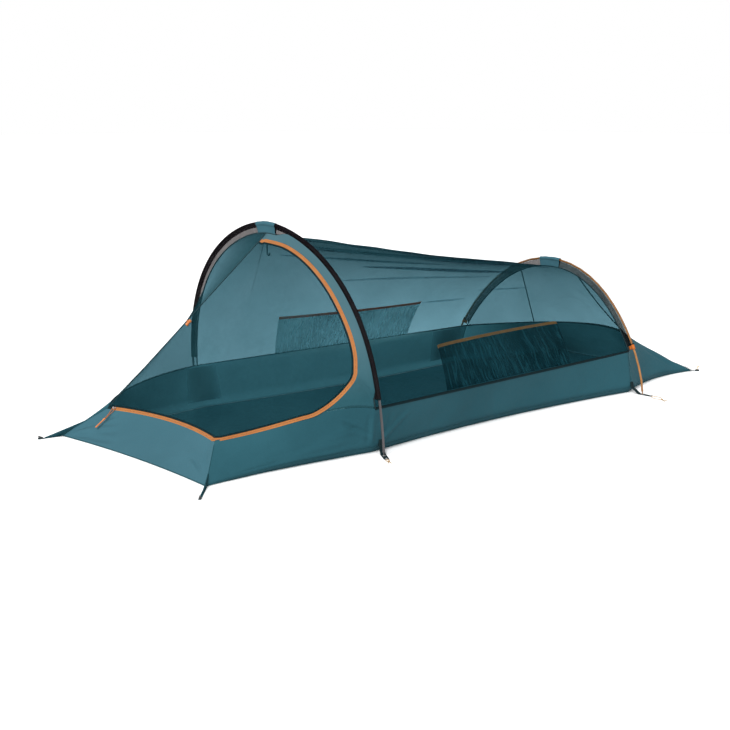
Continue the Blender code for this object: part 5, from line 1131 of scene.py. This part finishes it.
def make_floor():
    height, lowest = 0.0009, 0.0006
    rows = []
    for u in spread(121, 0.0, 3.0):
        inset = ASIDE * floor_fold(edge_lift(u))
        a, b = floor_side(u, True) + inset, floor_side(u, False) - inset
        row = []
        for t in spread(41):
            p = blend(a, b, t)
            shift = FRONT_EDGE_BOW * hump(t) * smooth(0.6, 0.0, u) - REAR_EDGE_BOW * hump(t) * smooth(2.4, 3.0, u)
            row.append(vec(p[0] + shift, p[1], height))
        rows.append(row)
    points = np.array(rows)
    lumps = np.abs(ripple_height(points, 0.009, 0.16, 21)) + np.abs(ripple_height(points, 0.004, 0.05, 22))
    points[..., 2] += lumps * edge_fade(points.shape[:2], 0.06)
    cloth("floor_cloth", points, FLOOR, ["floor"], thick=THIN_CLOTH,
          keep_up=lowest)


def make_binding():
    """Make the dark tape over the seam between the bathtub walls and the mesh."""
    path = [side_rim_point(u, True) for u in spread(70, 1.0, 2.0)]
    path += [rear_rim(t) for t in spread(90)[1:]]
    path += [side_rim_point(u, False) for u in spread(60, 2.0, 1.0)[1:]]
    path += [side_rim_point(u, False) for u in spread(50, 1.0, 0.035)[1:]]
    near_half, far_half, puffed = 0.0050, 0.0026, 0.0006
    rows = []
    for place, (point, run) in enumerate(zip(path, tangents_of(path))):
        normal = unit(np.cross(run, UP))
        half = blend(near_half, far_half, float(smooth(90.0, 150.0, place)))
        up = unit(np.cross(normal, run))
        rows.append([point + up * half * t + normal * puffed * (1.0 - t * t) for t in spread(5, -1.0, 1.0)])
    cloth("rim_tape", rows, BINDING, ["rim_binding"], thick=RIM_TAPE_THICK)
    faint = [side_rim_point(u, True) + vec(-0.0002, -0.0008, 0.0004) for u in spread(20, 0.80, 1.0)]
    pipe("strip_rim_seam", faint, STRIP_SEAM_RADIUS, WALL_SEAM, 6)


def make_wall_seams():
    """Make the narrow felled seams along the floor's edge and up the walls' corners."""
    def seam(name, path, radius=SEAM_RADIUS):
        pipe(name, path, radius, WALL_SEAM, 6)

    side_out, end_out, corner_out, below = 0.0012, 0.0010, 0.0009, 0.0012
    for side, near in (("near", True), ("far", False)):
        sign = -1.0 if near else 1.0
        seam("floor_seam_" + side, [wall_crease(floor_side(u, near), edge_lift(u)) + vec(0.0, sign * side_out, -below)
                                    for u in list(spread(110, 0.0, 2.0)) + list(spread(50, 2.0, 3.0))[1:]])
        corner = front_edge(0.0 if near else 1.0) + UP * CORNER_LIFT
        rim = NEAR_CORNER if near else FAR_CORNER
        out = unit(vec(-1.0, sign, 0.2))
        seam("corner_seam_" + side, [blend(corner, rim, t) + out * corner_out for t in spread(24, 0.02, 0.90)],
             CORNER_SEAM_RADIUS)
    for name, edge, out in (("front", front_edge, -end_out), ("rear", rear_edge, end_out)):
        seam("floor_seam_" + name, [edge(t) + vec(out, 0.0, CORNER_LIFT - below) for t in spread(50)])


def make_painted_shade_bands():
    """Make painted shade inside the far wall: bands of faint net behind the hoop legs, darker in the middle and
    fading at their edges, standing for the legs' shade on the wall.
    """
    front_x, rear_x = FRONT.near_rim[0], REAR.near_rim[0]
    inside = 0.0075
    shares = spread(25)
    for place, x_from, x_to in (("front", 0.570, 0.740), ("rear", 1.950, 2.160)):
        rows = []
        for x in blend(x_from, x_to, shares):
            u = x / front_x if x < front_x else 1.0 + (x - front_x) / (rear_x - front_x)
            low, high = floor_side(u, False) + UP * EDGE_LIFT, side_rim_point(u, False)
            rows.append([blend(low, high, t) - ASIDE * inside for t in spread(16, 0.02, 0.97)])
        cloth("painted_shade_band_" + place, rows, PAINTED_SHADE_NET, [],
              crown=np.sin(math.pi * shares) ** 0.7)


def make_pleats():
    """Make the tension pleats that run along the roof from hoop to hoop: doubled net with darker threads, partly
    painted crease shade.
    """
    for letter, start, end, width, look in (
            ("a", (0.140, 0.328), (0.740, 0.360), 0.022, PLEAT_NET),
            ("b", (0.020, 0.277), (0.600, 0.325), 0.011, FAINT_PLEAT_NET),
            ("c", (0.030, 0.385), (0.940, 0.432), 0.030, PLEAT_NET),
            ("d", (0.010, 0.440), (0.970, 0.462), 0.036, PLEAT_NET),
            ("e", (0.500, 0.262), (0.720, 0.276), 0.0085, FAINT_PLEAT_NET),
            ("f", (0.250, 0.219), (0.420, 0.231), 0.0085, FAINT_PLEAT_NET),
            ("g", (0.160, 0.668), (0.700, 0.642), 0.020, PLEAT_NET),
            ("h", (0.030, 0.612), (0.920, 0.570), 0.028, PLEAT_NET)):
        pleat("canopy_pleat_" + letter, canopy_spot, start, end, width, look)


# Sleeves, seams and patches

def round_pole(hoop, s, radius, lip_angle, count):
    """Return the points of a band of cloth round the pole, from one lip by the seam to the other."""
    centre, inward = hoop.point(s), hoop.inward(s)
    return [centre + radius * (inward * math.cos(a) + hoop.normal * math.sin(a))
            for a in np.radians(spread(count, lip_angle, 360.0 - lip_angle))]


def channel_rows(hoop, start, end, steps, radius, lip_angle, flange=0.0):
    flange_gap, flange_root = 0.0034, 0.0070
    rows = []
    for s in spread(steps, start, end):
        row = round_pole(hoop, s, radius, lip_angle, 15)
        if flange:
            lips = [[hoop.point(s) + hoop.inward(s) * x + hoop.normal * side for x in spread(5, flange, flange_root)]
                    for side in (flange_gap, -flange_gap)]
            row = lips[0] + row + lips[1][::-1]
        rows.append(row)
    return rows


def fin_rows(hoop, start, end, steps, side):
    """Return one side of the fin that joins a sleeve to its seam, faintly hollow."""
    tip_gap, hollow = 0.0007, 0.0022
    a = math.radians(SLEEVE_LIP_ANGLE)
    rows = []
    for s in spread(steps, start, end):
        lip = hoop.point(s) + SLEEVE_RADIUS * (hoop.inward(s) * math.cos(a) + side * hoop.normal * math.sin(a))
        tip = hoop.seam(s) + side * hoop.normal * tip_gap
        rows.append([blend(lip, tip, t) - side * hoop.normal * hollow * math.sin(math.pi * t) for t in spread(7)])
    return rows


def patch_rows(hoop, start, end):
    """Return a top patch's rows: up from the seam, round the pole and down to the seam again."""
    rows = []
    for s in spread(25, start, end):
        tip, apart = hoop.seam(s), hoop.normal * 0.0018
        turned = round_pole(hoop, s, PATCH_RADIUS, PATCH_LIP_ANGLE, 17)
        rows.append([blend(tip + apart, turned[0], t) for t in spread(9)[:-1]] + turned
                    + [blend(tip - apart, turned[-1], t) for t in spread(9, 1.0, 0.0)[1:]])
    return rows


def make_sleeves():
    row_pitch, hem_length, hem_radius, hem_lip, overlap = 0.012, 0.004, 0.0077, 30.0, 0.002
    for prefix, hoop, patch, channel, flange in (
            ("front", FRONT, FRONT_PATCH_HALF, CHANNEL_NET, FRONT_SLEEVE_FLANGE),
            ("rear", REAR, REAR_PATCH_HALF, OPEN_CHANNEL_NET, 0.0)):
        foot = hoop.place_at(SLEEVE_END_HEIGHT, hoop.point)
        low, high = hoop.crown - patch, hoop.crown + patch
        for side, start, end, at, step in (("near", foot, low, foot, hem_length),
                                           ("far", high, hoop.total - foot, hoop.total - foot, -hem_length)):
            node = prefix + "_sleeve_" + side
            steps = int((end - start) / row_pitch)
            rows = channel_rows(hoop, start, end, steps, SLEEVE_RADIUS, SLEEVE_LIP_ANGLE, flange)
            cloth(node + "_channel", rows, channel, [node])
            fin_net = BLACK_NET if hoop is FRONT or side == "far" else REAR_FIN_NET
            for number, way in ((1, 1.0), (2, -1.0)):
                cloth("%s_fin_%d" % (node, number), fin_rows(hoop, start, end, steps, way), fin_net, [node])
            cloth(node + "_end_hem", channel_rows(hoop, at, at + step, 2, hem_radius, hem_lip), BINDING, [],
                  thick=WEB_THICK, declare=False)
        rows = patch_rows(hoop, low - overlap, high + overlap)
        cloth(prefix + "_patch_cloth", rows, STRIP, [prefix + "_top_patch"], thick=THIN_CLOTH,
              ripple=(0.001, 0.02, 31))
        path = [hoop.seam(s) for s in spread(130, hoop.rim, hoop.total - hoop.rim)]
        pipe(prefix + "_hoop_piping", path, HOOP_PIPING, PIPING, nodes=[prefix + "_hoop_seam"])
    path = [APEX + HINGE * d for d in spread(40, 0.010, np.linalg.norm(FAR_CORNER - APEX) - 0.006)]
    pipe("door_hinge_piping", path, HINGE_PIPING, PIPING, nodes=["door_hinge_seam"])


def make_sleeve_tabs():
    """Make the orange tabs at the rear sleeve's ends, folded round the pole."""
    foot = REAR.place_at(SLEEVE_END_HEIGHT, REAR.point)
    length, radius, lip = 0.020, 0.0068, 25.0
    for side, at, step in (("near", foot, -length), ("far", REAR.total - foot, length)):
        cloth("rear_sleeve_tab_" + side, channel_rows(REAR, at, at + step, 6, radius, lip), TAB_TAPE, [],
              thick=TAB_THICK, declare=False)
        mid, run = at + 0.4 * step, unit(REAR.point(at + step) - REAR.point(at))
        path = [REAR.point(mid) + REAR.inward(mid) * t for t in (0.005, 0.012, 0.020)]
        ribbon("rear_sleeve_flag_" + side, path, [run] * 3, FLAG_HALF, TAB_TAPE, [],
               thick=FLAG_THICK, declare=False)


def pocket_top(share):
    """Return how far round the roof's net the pocket's mouth is sewn."""
    low, high = 0.0, 0.5
    for _ in range(16):
        trial = 0.5 * (low + high)
        if canopy_spot(share, trial)[2] < POCKET_TOP_HEIGHT:
            low = trial
        else:
            high = trial
    return low


def make_pockets():
    front_x = FRONT.near_rim[0]
    span = REAR.near_rim[0] - front_x
    off_net, over_mouth = 0.0028, 0.0055
    for side, near, net, trim, seed in (("near", True, POCKET_NET, TRIM, 41),
                                        ("far", False, BACKLIT_POCKET_NET, FAR_TRIM, 42)):
        inward = ASIDE if near else -ASIDE
        rows = []
        for across in spread(61):
            share = (blend(POCKET_FRONT_X, POCKET_REAR_X, across) - front_x) / span
            top, belly = pocket_top(share), POCKET_DEPTH * hump(across) ** 0.5
            row = []
            for up in spread(25):
                t = blend(0.002, top, up)
                row.append(canopy_spot(share, t if near else 1.0 - t) + inward * (off_net + belly * up ** 0.7))
            rows.append(row)
        cloth("pocket_net_" + side, rows, net, ["pocket_" + side],
              ripple=(0.009, 0.055, seed))
        widths = [unit(row[-1] - row[-2]) for row in rows]
        path = [row[-1] + width * over_mouth for row, width in zip(rows, widths)]
        ribbon("pocket_hem_" + side, path, widths, TRIM_HALF, trim, ["pocket_trim_" + side])


# Straps, eyelets and small fittings

def eyelet(name, centre, radius):
    path = [centre + radius * vec(math.cos(a), math.sin(a), 0.0) for a in spread(25, 0.0, 2.0 * math.pi)[:-1]]
    pipe(name, path, EYELET_WIRE, SILVER, closed=True)


def make_straps():
    clear, ground = 0.0019, 0.0011
    for prefix, hoop, floor_half, slant in (("front", FRONT, FRONT_HOOP_FLOOR_HALF, FRONT_STRAP_SLANT),
                                            ("rear", REAR, REAR_HOOP_FLOOR_HALF, 0.0)):
        rise = (FOOT_STRAP_ROOT_HEIGHT - EDGE_LIFT) / (hoop.near_rim[2] - EDGE_LIFT)
        root_y = blend(floor_half, abs(hoop.near_rim[1]), rise)
        for side, near in (("near", True), ("far", False)):
            node = prefix + "_foot_strap_" + side
            foot, out = hoop.foot(near), strap_direction(slant, near)
            foot_y = abs(foot[1])
            path = []
            for y, z in ((root_y + clear, FOOT_STRAP_ROOT_HEIGHT), (floor_half + clear + 0.0008, EDGE_LIFT + 0.001),
                         (foot_y - 0.016, ground), (foot_y, ground),
                         (foot_y + FOOT_STRAP_REACH * abs(out[1]), ground)):
                run = (y - foot_y) / abs(out[1])
                path.append(vec(foot[0] + out[0] * run, out[1] * run + foot[1], z))
            square = unit(np.cross(out, UP))
            wall_way = vec(math.copysign(1.0, square[0]), 0.0, 0.0)
            fine, fine_across = along_pairs(path, [wall_way, unit(wall_way + 0.4 * square)] + [square] * 3, 6)
            ribbon(node + "_webbing", fine, fine_across, FOOT_STRAP_HALF, STRAP, [node])
            eyelet(node + "_eyelet", at_height(foot, 2.0 * ground), 0.0047)
            eyelet(node + "_end_eyelet", at_height(foot + out * (FOOT_STRAP_REACH - 0.007), 2.0 * ground), 0.0034)


def corner_gusset(name, side, rise, end):
    """Make the doubled web of cloth that runs from a wall's corner ridge out to its strap."""
    rows = []
    turn, ground, landed, above, ahead, puffed = 0.62, 0.0016, 0.34, 0.014, 0.006, 0.0022
    top, foot = front_wall_point(side, 1.0 - rise), front_wall_point(side, 1.0)
    control = foot + UP * above + unit(end - foot) * ahead
    for t in spread(33):
        edge = (1.0 - t) ** 2 * top + 2.0 * t * (1.0 - t) * control + t * t * end
        if t < turn:
            base = front_wall_point(side, 1.0 - rise * (1.0 - t / turn))
        else:
            on = (t - turn) / (1.0 - turn)
            base = blend(foot, end, on)
            base[2] = max(ground, blend(foot[2], ground, min(1.0, on / landed)))
        rows.append([blend(base, edge, k) + UP * puffed * t * k for k in spread(7)])
    cloth(name, rows, WALL, [], thick=WEB_THICK, declare=False)


def make_corner_straps():
    near_top = rear_rim(REAR_WALL_FOLD)
    far_top = near_top * vec(1, -1, 1)
    clear, ground = 0.0017, 0.0011
    for name, corner, ridge, reach, half, gusset in (
            ("near_front", front_edge(0.0), NEAR_CORNER, (-NEAR_FRONT_REACH[0], -NEAR_FRONT_REACH[1]), 0.0050, 0.060),
            ("far_front", front_edge(1.0), FAR_CORNER, (-FAR_FRONT_REACH[0], FAR_FRONT_REACH[1]), 0.0100, 0.125),
            ("near_rear", rear_edge(0.0), near_top, (REAR_REACH[0], -REAR_REACH[1]), 0.0070, 0.0),
            ("far_rear", rear_edge(1.0), far_top, REAR_REACH, 0.0070, 0.0)):
        node = "corner_strap_" + name
        out = unit(vec(*reach, 0.0))
        slope = unit(ridge - corner)
        end = vec(corner[0] + reach[0], corner[1] + reach[1], ground)
        low = corner + out * 2.0 * clear + UP * CORNER_LIFT
        path = [corner + UP * CORNER_LIFT + slope * 0.050 + square_to(out, slope) * 1.25 * clear, low,
                at_height(blend(low, end, 0.25), ground), end]
        fine, fine_across = along_pairs(path, [unit(np.cross(out, UP))] * 4, 5)
        halves = np.interp(spread(len(fine)), (0.0, 0.33, 0.66, 1.0), (0.0012, half, 0.0045, 0.0045))
        ribbon(node + "_webbing", fine, fine_across, halves, CORNER_WEB, [node])
        if gusset:
            corner_gusset(node + "_gusset", 0.0 if corner[1] < 0.0 else 1.0,
                          gusset / float(np.linalg.norm(ridge - corner)), blend(low, end, 0.72))
        moulding = [at_height(end - out * x, 4.0 * ground) for x in spread(9, 0.018, -0.001)]
        sizes = [0.0022, 0.0036, 0.0042, 0.0043, 0.0043, 0.0042, 0.0040, 0.0034, 0.0018]
        pipe(node + "_end", moulding, sizes, DARK_PLASTIC, 12)


HOOK_RING_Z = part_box("hook_tab")[0].z + 0.0032


def make_hook_tab():
    def line(x, z):
        return [vec(x, y, z) for y in spread(5, -0.005, 0.005)]

    x, top, low, radius, gap = APEX[0], APEX[2] - 0.0030, HOOK_RING_Z + 0.004, 0.0030, 0.0006
    rows = [line(x - gap, z) for z in spread(5, top, low)]
    rows += [line(x + radius * math.cos(a), HOOK_RING_Z + radius * math.sin(a))
             for a in np.radians(spread(21, 100.0, 440.0))]
    rows += [line(x + gap, z) for z in spread(5, low, top)]
    cloth("hook_loop", rows, CORNER_WEB, ["hook_tab"], thick=THIN_CLOTH)


def make_hook():
    """Make the hook under the peak: a round wire frame with a shank and a curl."""
    x, high = APEX[0], HOOK_RING_Z
    half, low, shank, curl, turn = 0.0085, high - 0.010, 0.032, 0.0075, 0.0020
    ring = [(-half + turn, high), (half - turn, high), (half, high - turn), (half, low + turn),
            (half - turn, low), (-half + turn, low), (-half, low + turn), (-half, high - turn)]
    pipe("hook_frame", [vec(x, y, z) for y, z in ring], 0.0018, DARK_PLASTIC, 12, True, "hook",
         ["ceiling_hook"])
    path = [vec(x, 0.0, low - t * shank) for t in (0.0, 0.2, 0.4, 0.6)]
    for a in np.radians(spread(9, 180.0, 380.0)):
        path.append(vec(x, -curl * (1.0 + math.cos(a)), low - shank + curl * math.sin(a)))
    pipe("hook_shank", path, [0.0027] * 11 + [0.0024, 0.0017], DARK_PLASTIC, 12, False, "hook",
         ["ceiling_hook"])


def make_toggle():
    """Make the tie-back toggle: a grooved barrel in an elastic loop from the hinge seam."""
    anchor = blend(APEX, FAR_CORNER, 0.5)
    below = square_to(front_rim(0.5) - APEX, HINGE)
    outward = facing(np.cross(HINGE, below), UP)
    off_seam, hang, hang_out, into_barrel, radius, half_length = 0.0027, 0.024, 0.0092, 0.0017, 0.0060, 0.0130
    start = anchor + unit(below + outward) * off_seam
    end = anchor + below * hang + outward * hang_out
    centre = end + unit(end - start) * into_barrel
    stops = np.array((-1.0, -0.94, -0.80, -0.32, -0.22, 0.22, 0.32, 0.80, 0.94, 1.0))
    sizes = [share * radius for share in (0.35, 0.80, 1.0, 1.0, 0.70, 0.70, 1.0, 1.0, 0.80, 0.35)]
    pipe("toggle_barrel", [centre + HINGE * t * half_length for t in stops], sizes, ORANGE_PLASTIC,
         16, False, "toggle", ["door_toggle"])
    loop = catmull([start, blend(start, end, 0.5) + outward * 0.002, end], 6)
    ribbon("toggle_loop", loop, [HINGE] * len(loop), TOGGLE_LOOP_HALF, TAB_TAPE, ["door_toggle"],
           "toggle", thick=LOOP_THICK, declare=False)


def finish_nodes():
    """Give the solids that stay in sight their looks."""
    looks = {"front_shock_cord": SAND_CORD, "rear_shock_cord": SAND_CORD, "peg_near_front": PEG_WIRE,
             "peg_far_front": PEG_WIRE, "peg_near_rear": PEG_METAL, "peg_far_rear": PEG_METAL,
             "zip_slider": SILVER, "zip_pull_tab": ORANGE_PLASTIC}
    looks.update({"front_pole_%d" % number: GREY_TUBE for number in range(1, 6)})
    looks.update({"rear_pole_%d" % number: GOLD_TUBE for number in range(1, 5)})
    for name, look in looks.items():
        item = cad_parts[name]
        if not item.data.materials:
            item.data.materials.append(look)
        for spot in item.material_slots:
            spot.material = look


for make in (make_camera, make_stage, make_foot_cords, make_pull_cord, make_canopy, make_near_strip, make_zip,
             make_door, make_far_front, make_rear_nets, make_walls, make_floor, make_binding, make_wall_seams,
             make_painted_shade_bands, make_pleats, make_sleeves, make_sleeve_tabs, make_pockets, make_straps,
             make_corner_straps, make_hook_tab, make_hook, make_toggle, finish_nodes):
    make()
